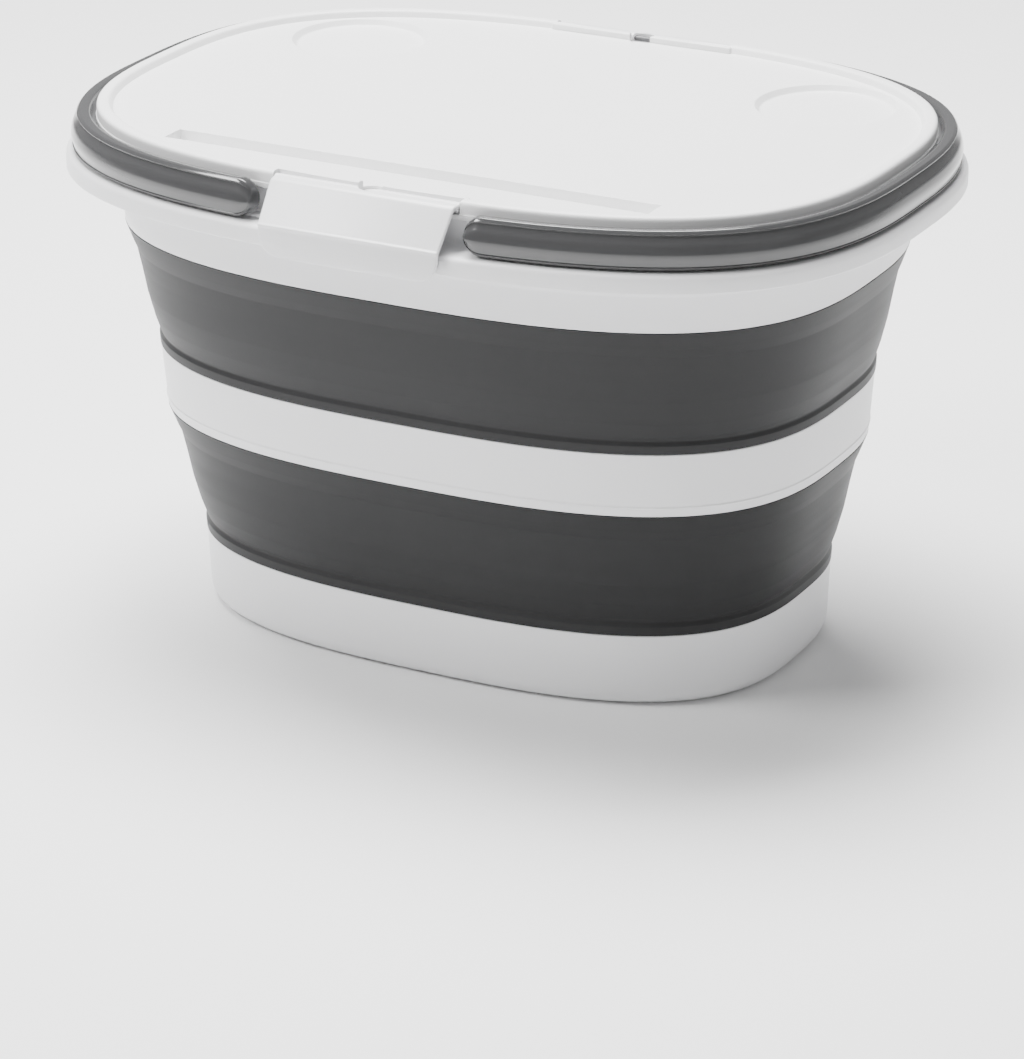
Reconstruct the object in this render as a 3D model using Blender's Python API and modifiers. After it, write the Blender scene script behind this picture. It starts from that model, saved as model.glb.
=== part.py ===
"""Collapsible oval tub with a snap-on lid that is also a small table with folding legs.

The tub is a base pan, a middle ring and a rim, joined by two soft bellows, so that it sinks
flat. Two bail handles lie on the rim's ledge, round the lid. A hinged latch at the front and
one at the back close over the rim's lip, and two leg frames fold flat under the lid.

X runs along the oval, Y towards the back, Z up, with the origin under the middle of the base.
Every outline round the tub is one superellipse, the lid's edge, moved out or in by an offset.
"""

import math

import bmesh
import bpy
from mathutils import Matrix, Vector

OBJECT_NAME = "foot_bath_tub"
MM = 0.001

# The lid's edge, which every other oval follows
LID_HALF_LENGTH = 208 * MM
LID_HALF_WIDTH = 150 * MM
OVAL_POWER = 2.8
OVAL_STEPS = 48

# Heights of the bands, from the floor up
BASE_HEIGHT = 39 * MM
LOWER_BELLOWS_HEIGHT = 70 * MM
RING_HEIGHT = 33 * MM
UPPER_BELLOWS_HEIGHT = 67 * MM
RIM_WALL_HEIGHT = 38 * MM
UPSTAND_HEIGHT = 13.7 * MM
LID_EDGE_HEIGHT = 9 * MM

# Offsets of the tub's outer faces from the lid's edge
LIP_OFFSET = 14.5 * MM
RIM_TOP_OFFSET = -3 * MM
RIM_WALL_OFFSET = -11 * MM
RIM_BOTTOM_OFFSET = -11.5 * MM
RING_TOP_OFFSET = -26 * MM
RING_BOTTOM_OFFSET = -28.5 * MM
BASE_TOP_OFFSET = -45 * MM
BASE_BOTTOM_OFFSET = -46.5 * MM

# Walls
WALL = 3 * MM
BELLOWS_WALL = 2.2 * MM
LIP_WALL = 2.4 * MM
LIP_HEIGHT = 9.4 * MM
BASE_CORNER = 10 * MM
FOOT_RING_WIDTH = 25 * MM
FOOT_RECESS = 1.2 * MM
BEAD_RISE = 0.5 * MM
BEAD_WIDTH = 1.6 * MM
BEAD_UP = 4 * MM
LIP_RADIUS = 3.4 * MM
RIM_SHOULDER_DOWN = 11 * MM
RIM_SHOULDER_HEIGHT = 8 * MM
RIM_SHOULDER_LIFT = 1.2 * MM
UPSTAND_FILLET = 1 * MM
LEDGE_FILLET = 2.4 * MM
LIP_FILLET = 1.2 * MM

# Lid
LID_BEAD_WIDTH = 7 * MM
LID_BEAD_RISE = 3.5 * MM
LID_BEAD_RADIUS = 2.4 * MM
LID_BEAD_FOOT = 2 * MM
LID_SKIRT_OFFSET = -7.2 * MM
LID_SKIRT_WALL = 2.3 * MM
LID_SKIRT_DEPTH = 22.5 * MM
LID_PANEL = 2.5 * MM
CUP_RADIUS = 37 * MM
CUP_FROM_END = 37 * MM
CUP_FROM_SIDE = 33 * MM
CUP_DEPTH = 3 * MM
RECESS_FLOOR = 1.6 * MM
SLOT_FROM_END = 76 * MM
SLOT_BACK_FROM_EDGE = 49 * MM
SLOT_WIDTH = 14 * MM
SLOT_FLOOR_WIDTH = 6.5 * MM
SLOT_DEPTH = 6 * MM
NOTCH_RADIUS = 6 * MM
SKIRT_FIT = 0.7 * MM
IN_PANEL = 0.5 * MM

# Latches
LATCH_HALF_WIDTH = 50 * MM
LATCH_PLATE = 2.2 * MM
LATCH_BARREL_RADIUS = 2.6 * MM
LATCH_AXIS_FROM_EDGE = 3.4 * MM
LATCH_AXIS_FROM_TOP = 3.8 * MM
LATCH_CORNER = 11 * MM
LATCH_REACH = 3.2 * MM
LATCH_GAP = 0.6 * MM
LATCH_FLAT = 6 * MM
LATCH_FALL = 0.4 * MM
LATCH_FOLD_UP = 2.5 * MM
LATCH_FLARE = 1 * MM
LATCH_PIN_RADIUS = 1.2 * MM
LATCH_PIN_SEAT = 5 * MM

# Handles
HANDLE_FROM_LATCH = 16 * MM
HANDLE_WIDTH = 9.5 * MM
HANDLE_HEIGHT = 18.4 * MM
HANDLE_FROM_LID = 2.5 * MM
HANDLE_OVER_LEDGE = 1 * MM
HANDLE_STEPS = 26
HANDLE_PIN_RADIUS = 1.8 * MM
HANDLE_PIN_IN_BAR = 6 * MM
HANDLE_BOSS_RADIUS = 3.3 * MM

# Leg frames, with sizes in the frame's own plane when it stands
LEG_PIVOT_FROM_END = 54 * MM
LEG_TIP_FROM_MIDDLE = 4 * MM
LEG_FROM_SKIRT = 7.8 * MM
LEG_UPRIGHT = 14 * MM
LEG_DEPTH = 17 * MM
LEG_FOOT_LENGTH = 36 * MM
LEG_FOOT_GAP = 10 * MM
LEG_FOOT_THICKNESS = 12 * MM
LEG_BAR_TOP = 47 * MM
LEG_BAR_HEIGHT = 13.5 * MM
LEG_BAR_RISE = 3.5 * MM
LEG_BAR_RISE_HALF = 26 * MM
LEG_BAR_SLOPE = 0.4 * MM
LEG_BEND = 12 * MM
LEG_FILLET = 6 * MM
LEG_TOE_RADIUS = 7 * MM
LEG_HEEL_RADIUS = 9 * MM
LEG_STEP_RADIUS = 3 * MM
LEG_RISE_RADIUS = 1.5 * MM
LEG_POCKET_DEPTH = 4.5 * MM
LEG_POCKET_RIB = 2.2 * MM
LEG_SOLID_TOP = 15 * MM
LEG_SLOT_HALF_LENGTH = 15 * MM
LEG_SLOT_WIDTH = 2.4 * MM
LEG_PIN_RADIUS = 2 * MM
LEG_PIN_HEAD_RADIUS = 3.4 * MM
LEG_PIN_HEAD = 1.2 * MM
LEG_PAD = 1.5 * MM
LEG_PAD_INSET = 9 * MM
LEG_PAD_EDGE = 2 * MM
LEG_PAD_RADIUS = 3 * MM
BRACKET_EAR = 3 * MM
BRACKET_PLATE = 2 * MM
BRACKET_OUTER_REACH = 13 * MM
BRACKET_INNER_REACH = 9 * MM
BRACKET_EAR_RADIUS = 7.8 * MM
BRACKET_SEAT_STEP = 0.2 * MM

# Clearances
SEAT = 0.3 * MM
PIN_FIT = 0.3 * MM
SWING_GAP = 0.4 * MM
FLUSH = 0.02 * MM
ARC_STEPS = 3


def oval_point(angle, offset, height):
    """A point of the lid's superellipse moved out by offset, at a height."""
    power = 2 / OVAL_POWER
    along, across = math.cos(angle), math.sin(angle)
    x = (LID_HALF_LENGTH + offset) * math.copysign(abs(along) ** power, along)
    y = (LID_HALF_WIDTH + offset) * math.copysign(abs(across) ** power, across)
    return Vector((x, y, height))


def oval_y(x, offset):
    """Half-width at x of the superellipse moved out by offset."""
    share = abs(x) / (LID_HALF_LENGTH + offset)
    return (LID_HALF_WIDTH + offset) * (1 - share**OVAL_POWER) ** (1 / OVAL_POWER)


# Heights and places that follow from the sizes above
BASE_TOP = BASE_HEIGHT
RING_BOTTOM = BASE_TOP + LOWER_BELLOWS_HEIGHT
RING_TOP = RING_BOTTOM + RING_HEIGHT
RIM_BOTTOM = RING_TOP + UPPER_BELLOWS_HEIGHT
LEDGE_TOP = RIM_BOTTOM + RIM_WALL_HEIGHT
UPSTAND_TOP = LEDGE_TOP + UPSTAND_HEIGHT
LID_BOTTOM = UPSTAND_TOP + SEAT
LID_TOP = LID_BOTTOM + LID_EDGE_HEIGHT
PANEL_TOP = LID_TOP - LID_BEAD_RISE
PANEL_BOTTOM = PANEL_TOP - LID_PANEL
CUP_X = LID_HALF_LENGTH - CUP_FROM_END - CUP_RADIUS
CUP_Y = LID_HALF_WIDTH - CUP_FROM_SIDE - CUP_RADIUS
CUP_UNDERSIDE = PANEL_TOP - CUP_DEPTH - RECESS_FLOOR
SLOT_HALF_LENGTH = LID_HALF_LENGTH - SLOT_FROM_END
BRACKET_SEAT = CUP_UNDERSIDE - BRACKET_SEAT_STEP
BRACKET_TOP = BRACKET_SEAT - SEAT
LEG_PIVOT_X = LID_HALF_LENGTH - LEG_PIVOT_FROM_END
LEG_PIVOT_Z = BRACKET_TOP - BRACKET_PLATE - SWING_GAP - 0.5 * LEG_DEPTH
LEG_LENGTH = LEG_PIVOT_X - LEG_TIP_FROM_MIDDLE
SKIRT_INSIDE = LID_SKIRT_OFFSET - LID_SKIRT_WALL
LEG_HALF_SPAN = oval_y(LEG_PIVOT_X + BRACKET_OUTER_REACH, SKIRT_INSIDE) - LEG_FROM_SKIRT
LEG_CENTRE_Y = LEG_HALF_SPAN - 0.5 * LEG_UPRIGHT
BRACKET_HALF_SPAN = 0.5 * LEG_UPRIGHT + SWING_GAP + BRACKET_EAR
HANDLE_END_X = LATCH_HALF_WIDTH + HANDLE_FROM_LATCH
HANDLE_PIVOT_Z = LEDGE_TOP + HANDLE_OVER_LEDGE + 0.5 * HANDLE_HEIGHT
HANDLE_CENTRE_OFFSET = HANDLE_FROM_LID + 0.5 * HANDLE_WIDTH
LATCH_AXIS_Y = LID_HALF_WIDTH - LATCH_AXIS_FROM_EDGE
LATCH_AXIS_Z = LID_TOP - LATCH_AXIS_FROM_TOP

for old in list(bpy.data.objects):
    bpy.data.objects.remove(old, do_unlink=True)

parts = bpy.data.collections.new(OBJECT_NAME)
cutters = bpy.data.collections.new(OBJECT_NAME + "_cutters")
for collection in (parts, cutters):
    bpy.context.scene.collection.children.link(collection)
cutters.hide_render = True


# --- materials -----------------------------------------------------------------------------


def plastic(name, colour, roughness):
    material = bpy.data.materials.new(name)
    material.use_nodes = True
    shader = material.node_tree.nodes["Principled BSDF"]
    shader.inputs["Base Color"].default_value = (*colour, 1)
    shader.inputs["Roughness"].default_value = roughness
    shader.inputs["Metallic"].default_value = 0
    return material


WHITE = plastic("white_polypropylene", (0.86, 0.86, 0.87), 0.38)
MILKY = plastic("milky_polypropylene", (0.80, 0.80, 0.81), 0.30)
SOFT_GREY = plastic("soft_grey_rubber", (0.075, 0.075, 0.08), 0.55)
GLOSS_GREY = plastic("gloss_grey_plastic", (0.14, 0.14, 0.145), 0.15)
LEG_GREY = plastic("leg_grey_plastic", (0.085, 0.085, 0.09), 0.4)
PIN_GREY = plastic("pin_plastic", (0.25, 0.25, 0.26), 0.35)
PAD_GREY = plastic("pad_rubber", (0.05, 0.05, 0.05), 0.75)


# --- helpers -------------------------------------------------------------------------------


def add_object(name, mesh, material=None, cutter=False):
    """Puts a mesh in the parts, or in the cutters, which are never rendered."""
    made = bpy.data.objects.new(name, mesh)
    (cutters if cutter else parts).objects.link(made)
    if cutter:
        made.hide_render = True
        made.display_type = "WIRE"
    if material:
        mesh.materials.append(material)
    mesh.shade_smooth()
    mesh.set_sharp_from_angle(angle=math.radians(35))
    return made


def mesh_from(build, name):
    """Runs a bmesh maker, closes its normals outwards and returns the mesh."""
    work = bmesh.new()
    build(work)
    bmesh.ops.recalc_face_normals(work, faces=work.faces)
    mesh = bpy.data.meshes.new(name)
    work.to_mesh(mesh)
    work.free()
    return mesh


def full_turn():
    return [2 * math.pi * step / OVAL_STEPS for step in range(OVAL_STEPS)]


def bridge(work, rows, wrap):
    """Quads between neighbouring rows of points, closing each row on itself where wrap is set."""
    for one, two in zip(rows, rows[1:]):
        for index in range(len(one) - (0 if wrap else 1)):
            after = (index + 1) % len(one)
            work.faces.new((one[index], one[after], two[after], two[index]))


def oval_band(name, section, material):
    """A closed section of (offset, height) points carried once round the oval."""

    def build(work):
        rows = [[work.verts.new(oval_point(a, d, z)) for a in full_turn()] for d, z in section]
        bridge(work, rows + rows[:1], wrap=True)

    return add_object(name, mesh_from(build, name), material)


def oval_pan(name, section, material):
    """A section of (offset, height) points round the oval, with a flat face at each end."""

    def build(work):
        rows = [[work.verts.new(oval_point(a, d, z)) for a in full_turn()] for d, z in section]
        bridge(work, rows, wrap=True)
        work.faces.new(rows[0])
        work.faces.new(rows[-1])

    return add_object(name, mesh_from(build, name), material)


def arc(centre, radius, start, end, steps=ARC_STEPS):
    """Points of an arc between two angles in degrees, in a section's plane."""
    turns = [math.radians(start + (end - start) * step / steps) for step in range(steps + 1)]
    return [(centre[0] + radius * math.cos(t), centre[1] + radius * math.sin(t)) for t in turns]


def rounded(corners):
    """Replaces each (x, y, radius) corner of a closed outline with an arc of that radius."""
    outline = []
    for index, (x, y, radius) in enumerate(corners):
        here = Vector((x, y))
        before = Vector(corners[index - 1][:2]) - here
        after = Vector(corners[(index + 1) % len(corners)][:2]) - here
        if radius <= 0:
            outline.append(here)
            continue
        half = 0.5 * before.angle(after)
        reach = min(radius / math.tan(half), 0.49 * before.length, 0.49 * after.length)
        start = here + before.normalized() * reach
        end = here + after.normalized() * reach
        for step in range(ARC_STEPS + 1):
            share = step / ARC_STEPS
            blend = start.lerp(here, share).lerp(here.lerp(end, share), share)
            outline.append(blend)
    return outline


def plate(name, outline, thickness, matrix, material=None, cutter=False):
    """A flat outline with a thickness either side of its plane, turned and moved by matrix.

    The curve is drawn in millimetres, because filling drops points that are very near.
    """
    curve = bpy.data.curves.new(name, "CURVE")
    curve.dimensions = "2D"
    curve.fill_mode = "BOTH"
    curve.extrude = 0.5 * thickness / MM
    spline = curve.splines.new("POLY")
    spline.points.add(len(outline) - 1)
    for point, (x, y) in zip(spline.points, outline):
        point.co = (x / MM, y / MM, 0, 1)
    spline.use_cyclic_u = True
    flat = bpy.data.objects.new(name + "_outline", curve)
    bpy.context.scene.collection.objects.link(flat)
    graph = bpy.context.evaluated_depsgraph_get()
    mesh = bpy.data.meshes.new_from_object(flat.evaluated_get(graph))
    bpy.data.objects.remove(flat)
    mesh.transform(matrix @ Matrix.Scale(MM, 4))
    work = bmesh.new()
    work.from_mesh(mesh)
    bmesh.ops.remove_doubles(work, verts=work.verts, dist=1e-6)
    flat_enough = math.radians(0.5)
    bmesh.ops.dissolve_limit(work, angle_limit=flat_enough, verts=work.verts, edges=work.edges)
    bmesh.ops.recalc_face_normals(work, faces=work.faces)
    work.to_mesh(mesh)
    work.free()
    return add_object(name, mesh, material, cutter)


def block(name, low, high, cutter=True):
    """A box between two corners."""
    low, high = Vector(low), Vector(high)
    size = high - low
    matrix = Matrix.Translation((low + high) / 2) @ Matrix.Diagonal((*size, 1))
    mesh = mesh_from(lambda work: bmesh.ops.create_cube(work, size=1, matrix=matrix), name)
    return add_object(name, mesh, cutter=cutter)


def cylinder(name, centre, axis, radius, length, steps=24, top_radius=None, cutter=True):
    """A cylinder, or a cone with another radius at its far end, centred on a point."""
    turn = Vector(axis).to_track_quat("Z", "Y").to_matrix().to_4x4()
    matrix = Matrix.Translation(centre) @ turn
    far = radius if top_radius is None else top_radius

    def build(work):
        bmesh.ops.create_cone(
            work, cap_ends=True, segments=steps, radius1=radius, radius2=far, depth=length, matrix=matrix
        )

    return add_object(name, mesh_from(build, name), cutter=cutter)


def turned_pin(name, centre, axis, radius, length, head_radius=0, head=0, material=None):
    """A plain pin, or one with a head at its far end, turned about its own axis."""
    half = 0.5 * length
    if head:
        profile = [(0, half), (head_radius, half), (head_radius, half - head), (radius, half - head)]
    else:
        profile = [(0, half), (radius, half)]
    profile += [(radius, -half), (0, -half)]
    mesh = bpy.data.meshes.new(name)
    edges = [(index, index + 1) for index in range(len(profile) - 1)]
    mesh.from_pydata([(x, 0, z) for x, z in profile], edges, [])
    made = add_object(name, mesh, material)
    screw = made.modifiers.new("turn", "SCREW")
    screw.axis = "Z"
    screw.steps = screw.render_steps = 16
    screw.use_merge_vertices = True
    screw.merge_threshold = 1e-5
    made.rotation_mode = "QUATERNION"
    made.rotation_quaternion = Vector(axis).to_track_quat("Z", "Y")
    made.location = centre
    return made


def combine(target, operation, *others):
    """Adds or cuts helpers with exact Booleans, which stay on the part."""
    for other in others:
        boolean = target.modifiers.new(other.name, "BOOLEAN")
        boolean.operation = operation
        boolean.object = other
        boolean.solver = "EXACT"


def set_origin(made, place):
    """Moves an object's origin to a joint's axis and leaves its shape where it is."""
    made.data.transform(Matrix.Translation(-Vector(place)))
    made.location = place


def side_name(name, sign_x, sign_y=0):
    words = [name, "right" if sign_x > 0 else "left"]
    if sign_y:
        words.append("back" if sign_y > 0 else "front")
    return "_".join(words)


# --- tub -----------------------------------------------------------------------------------


def make_base_pan():
    """A pan with a rounded foot, which stands on a flat ring round a shallow recess."""
    centre = (BASE_BOTTOM_OFFSET - BASE_CORNER, BASE_CORNER)
    ring_inside = centre[0] - FOOT_RING_WIDTH
    section = arc(centre, BASE_CORNER - WALL, -90, 0)
    section += [(BASE_TOP_OFFSET - WALL, BASE_TOP), (BASE_TOP_OFFSET, BASE_TOP)]
    section += arc(centre, BASE_CORNER, 0, -90)
    section += [(ring_inside, 0), (ring_inside - FOOT_RECESS, FOOT_RECESS)]
    oval_pan("base_pan", section, WHITE)


def make_middle_ring():
    slope = (RING_TOP_OFFSET - RING_BOTTOM_OFFSET) / RING_HEIGHT

    def outer(up):
        return RING_BOTTOM_OFFSET + slope * up

    section = [
        (outer(RING_HEIGHT) - WALL, RING_TOP),
        (outer(RING_HEIGHT), RING_TOP),
        (outer(BEAD_UP + BEAD_WIDTH), RING_BOTTOM + BEAD_UP + BEAD_WIDTH),
        (outer(BEAD_UP + 0.5 * BEAD_WIDTH) + BEAD_RISE, RING_BOTTOM + BEAD_UP + 0.5 * BEAD_WIDTH),
        (outer(BEAD_UP), RING_BOTTOM + BEAD_UP),
        (outer(0), RING_BOTTOM),
        (outer(0) - WALL, RING_BOTTOM),
    ]
    oval_band("middle_ring", section, WHITE)


def make_bellows(name, top_offset, top, bottom_offset, bottom):
    """A soft wall: a conical shoulder, a step, a crowned taper, a fold groove and a foot lip."""
    inset = top_offset - bottom_offset
    height = top - bottom - 2 * SEAT
    shape = [
        (0, 0),
        (0.13, 0.26),
        (0.155, 0.34),
        (0.36, 0.44),
        (0.58, 0.62),
        (0.76, 0.84),
        (0.87, 1.0),
        (0.895, 1.04),
        (0.92, 0.94),
        (1.0, 0.96),
    ]

    def place(down, share):
        return (top_offset - inset * share, top - SEAT - height * down)

    outside = [place(down, share) for down, share in shape]
    inside = [(outside[index][0] - BELLOWS_WALL, outside[index][1]) for index in (9, 6, 4, 1, 0)]
    oval_band(name, outside + inside, SOFT_GREY)


def handle_pin_place(sign_x, sign_y):
    """Start, in the upstand, and end, in the handle, of a handle pin along Y."""
    x = sign_x * HANDLE_END_X
    wall = oval_y(HANDLE_END_X, LID_SKIRT_OFFSET + SKIRT_FIT) + 0.3 * WALL
    bar = oval_y(HANDLE_END_X, HANDLE_FROM_LID)
    start = Vector((x, sign_y * wall, HANDLE_PIVOT_Z))
    end = Vector((x, sign_y * (bar + HANDLE_PIN_IN_BAR), HANDLE_PIVOT_Z))
    return start, end


def make_rim():
    upstand_in = LID_SKIRT_OFFSET + SKIRT_FIT
    upstand_out = upstand_in + WALL
    under = LEDGE_TOP - WALL
    lip_bottom = LEDGE_TOP - LIP_HEIGHT
    lip_in = LIP_OFFSET - LIP_WALL
    shoulder_top = LEDGE_TOP - RIM_SHOULDER_DOWN
    shoulder_low = shoulder_top - RIM_SHOULDER_HEIGHT
    section = [
        (RIM_BOTTOM_OFFSET - WALL, RIM_BOTTOM),
        (RIM_WALL_OFFSET - WALL, shoulder_low + RIM_SHOULDER_LIFT),
        (upstand_in, shoulder_top + RIM_SHOULDER_LIFT),
        (upstand_in, UPSTAND_TOP),
        (upstand_out, UPSTAND_TOP),
        (upstand_out, LEDGE_TOP + UPSTAND_FILLET),
        (upstand_out + UPSTAND_FILLET, LEDGE_TOP),
    ]
    section += arc((LIP_OFFSET - LIP_RADIUS, LEDGE_TOP - LIP_RADIUS), LIP_RADIUS, 90, 0)
    section += [
        (LIP_OFFSET, lip_bottom),
        (lip_in, lip_bottom),
        (lip_in, under - LIP_FILLET),
        (lip_in - LIP_FILLET, under),
        (RIM_TOP_OFFSET + LEDGE_FILLET, under),
        (RIM_TOP_OFFSET, under - LEDGE_FILLET),
        (RIM_TOP_OFFSET, shoulder_top),
        (RIM_WALL_OFFSET, shoulder_low),
        (RIM_BOTTOM_OFFSET, RIM_BOTTOM),
    ]
    rim = oval_band("rim", section, WHITE)
    for sign_x in (-1, 1):
        for sign_y in (-1, 1):
            start, end = handle_pin_place(sign_x, sign_y)
            name = side_name("handle_boss", sign_x, sign_y)
            outer = sign_y * (oval_y(HANDLE_END_X + HANDLE_BOSS_RADIUS, HANDLE_FROM_LID) - SEAT)
            inner = start.y + sign_y * 0.2 * MM
            centre = (start.x, 0.5 * (inner + outer), start.z)
            boss = cylinder(name, centre, (0, 1, 0), HANDLE_BOSS_RADIUS, abs(outer - inner))
            combine(rim, "UNION", boss)
            hole = pin_hole(side_name("handle_boss_hole", sign_x, sign_y), start, end, HANDLE_PIN_RADIUS)
            combine(rim, "DIFFERENCE", hole)


def pin_hole(name, start, end, radius):
    """The hole round a pin that lies between two points, with the pin's clearance all round."""
    length = (end - start).length + 2 * PIN_FIT
    return cylinder(name, (start + end) / 2, end - start, radius + PIN_FIT, length, steps=16)


# --- handles -------------------------------------------------------------------------------


def make_handle(sign_x):
    """A bail round one end of the oval, with round ends on the pivot line."""
    low = HANDLE_PIVOT_Z - 0.5 * HANDLE_HEIGHT
    high = HANDLE_PIVOT_Z + 0.5 * HANDLE_HEIGHT
    inner, outer = HANDLE_FROM_LID, HANDLE_FROM_LID + HANDLE_WIDTH
    corners = [
        (inner, low, 2 * MM),
        (outer, low, 4 * MM),
        (outer, high, 6 * MM),
        (inner, high, 2.5 * MM),
    ]
    section = rounded(corners)
    centre = LID_HALF_LENGTH + HANDLE_CENTRE_OFFSET
    reach = math.acos((HANDLE_END_X / centre) ** (OVAL_POWER / 2))
    name = side_name("handle", sign_x)

    def build(work):
        rows = []
        for step in range(HANDLE_STEPS + 1):
            angle = reach * (2 * step / HANDLE_STEPS - 1)
            ring = [oval_point(angle, d, z) for d, z in section]
            rows.append([work.verts.new((sign_x * p.x, p.y, p.z)) for p in ring])
        bridge(work, rows, wrap=True)
        work.faces.new(rows[0])
        work.faces.new(rows[-1])

    handle = add_object(name, mesh_from(build, name), GLOSS_GREY)
    for sign_y in (-1, 1):
        y = sign_y * oval_y(HANDLE_END_X, HANDLE_CENTRE_OFFSET)
        knob = cylinder(
            side_name("handle_end", sign_x, sign_y),
            (sign_x * HANDLE_END_X, y, HANDLE_PIVOT_Z),
            (0, 1, 0),
            0.5 * HANDLE_HEIGHT - FLUSH,
            HANDLE_WIDTH - 1 * MM,
            steps=24,
        )
        start, end = handle_pin_place(sign_x, sign_y)
        hole = pin_hole(side_name("handle_hole", sign_x, sign_y), start, end, HANDLE_PIN_RADIUS)
        combine(handle, "UNION", knob)
        combine(handle, "DIFFERENCE", hole)
        turned_pin(
            side_name("handle_pin", sign_x, sign_y),
            (start + end) / 2,
            (0, 1, 0),
            HANDLE_PIN_RADIUS,
            (end - start).length,
            material=PIN_GREY,
        )
    set_origin(handle, (sign_x * HANDLE_END_X, 0, HANDLE_PIVOT_Z))


# --- lid -----------------------------------------------------------------------------------


def make_lid():
    skirt_out = LID_SKIRT_OFFSET
    skirt_low = LID_BOTTOM - LID_SKIRT_DEPTH
    bead_centre_z = LID_TOP - LID_BEAD_RADIUS
    section = [(-LID_BEAD_WIDTH - LID_BEAD_FOOT, PANEL_TOP)]
    section += arc((LID_BEAD_RADIUS - LID_BEAD_WIDTH, bead_centre_z), LID_BEAD_RADIUS, 180, 90, 2)
    section += arc((-LID_BEAD_RADIUS, bead_centre_z), LID_BEAD_RADIUS, 90, 0, 2)
    section += [
        (0, LID_BOTTOM),
        (skirt_out, LID_BOTTOM),
        (skirt_out, skirt_low),
        (SKIRT_INSIDE, skirt_low),
        (SKIRT_INSIDE, PANEL_BOTTOM),
    ]
    lid = oval_pan("lid", section, WHITE)
    recesses = []
    for sign in (-1, 1):
        centre = (sign * CUP_X, CUP_Y)
        rise = PANEL_TOP - IN_PANEL - CUP_UNDERSIDE
        boss = cylinder(
            side_name("cup_boss", sign),
            (*centre, CUP_UNDERSIDE + 0.5 * rise),
            (0, 0, 1),
            CUP_RADIUS + RECESS_FLOOR,
            rise,
            steps=32,
        )
        recess = cylinder(
            side_name("cup_recess", sign),
            (*centre, PANEL_TOP),
            (0, 0, 1),
            CUP_RADIUS - CUP_DEPTH,
            2 * CUP_DEPTH,
            steps=32,
            top_radius=CUP_RADIUS + CUP_DEPTH,
        )
        combine(lid, "UNION", boss)
        recesses.append(recess)
    slot_body = slot_prism("slot_body", RECESS_FLOOR, PANEL_TOP - IN_PANEL)
    slot = slot_prism("slot_groove", 0, PANEL_TOP + 1 * MM)
    combine(lid, "UNION", slot_body)
    combine(lid, "DIFFERENCE", slot)
    reach_x = (-BRACKET_INNER_REACH, BRACKET_OUTER_REACH)
    reach_y = (-BRACKET_HALF_SPAN, BRACKET_HALF_SPAN)
    for sign_x in (-1, 1):
        for sign_y in (-1, 1):
            near, far = sorted(sign_x * (LEG_PIVOT_X + reach) for reach in reach_x)
            low, high = sorted(sign_y * (LEG_CENTRE_Y + reach) for reach in reach_y)
            corner_low = (near, low, BRACKET_SEAT)
            corner_high = (far, high, PANEL_TOP - 2 * IN_PANEL)
            combine(lid, "UNION", block(side_name("bracket_seat", sign_x, sign_y), corner_low, corner_high))
    combine(lid, "DIFFERENCE", *recesses)
    for sign in (-1, 1):
        cut_latch_seat(lid, sign)


def slot_prism(name, grow, top):
    """The tablet groove, or its body when grown: a steep back wall and a sloping front."""
    back = SLOT_BACK_FROM_EDGE - LID_HALF_WIDTH + grow
    floor = PANEL_TOP - SLOT_DEPTH - grow
    front = back - SLOT_WIDTH - 2 * grow
    outline = [
        (back, top),
        (back, floor),
        (back - SLOT_FLOOR_WIDTH - 2 * grow, floor),
        (front, PANEL_TOP),
        (front, top),
    ]
    if top < PANEL_TOP:
        outline[3:] = [(front, top)]
    turn = Matrix(((0, 0, 1, 0), (1, 0, 0, 0), (0, 1, 0, 0), (0, 0, 0, 1)))
    return plate(name, outline, 2 * (SLOT_HALF_LENGTH + grow), turn, cutter=True)


def cut_latch_seat(lid, sign_y):
    """The hinge recess in the lid's edge, its pin hole and the half-round finger notch."""
    tag = "back" if sign_y > 0 else "front"
    half = LATCH_HALF_WIDTH + 2 * SEAT
    wall = LATCH_AXIS_Y - LATCH_BARREL_RADIUS - 2 * SEAT
    floor = LATCH_AXIS_Z - LATCH_BARREL_RADIUS - SEAT
    near, far = sorted((sign_y * wall, sign_y * (LID_HALF_WIDTH + 5 * MM)))
    seat = block("latch_seat_" + tag, (-half, near, floor), (half, far, LID_TOP + 2 * MM))
    centre = (0, sign_y * LATCH_AXIS_Y, LATCH_AXIS_Z)
    length = 2 * (half + LATCH_PIN_SEAT + PIN_FIT)
    hole = cylinder("latch_seat_hole_" + tag, centre, (1, 0, 0), LATCH_PIN_RADIUS + PIN_FIT, length, 16)
    notch_height = LID_TOP - floor + 2 * MM
    notch = cylinder(
        "finger_notch_" + tag,
        (0, sign_y * (wall + 0.5 * MM), floor + 0.5 * notch_height),
        (0, 0, 1),
        NOTCH_RADIUS,
        notch_height,
    )
    combine(lid, "DIFFERENCE", seat, hole, notch)


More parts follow.
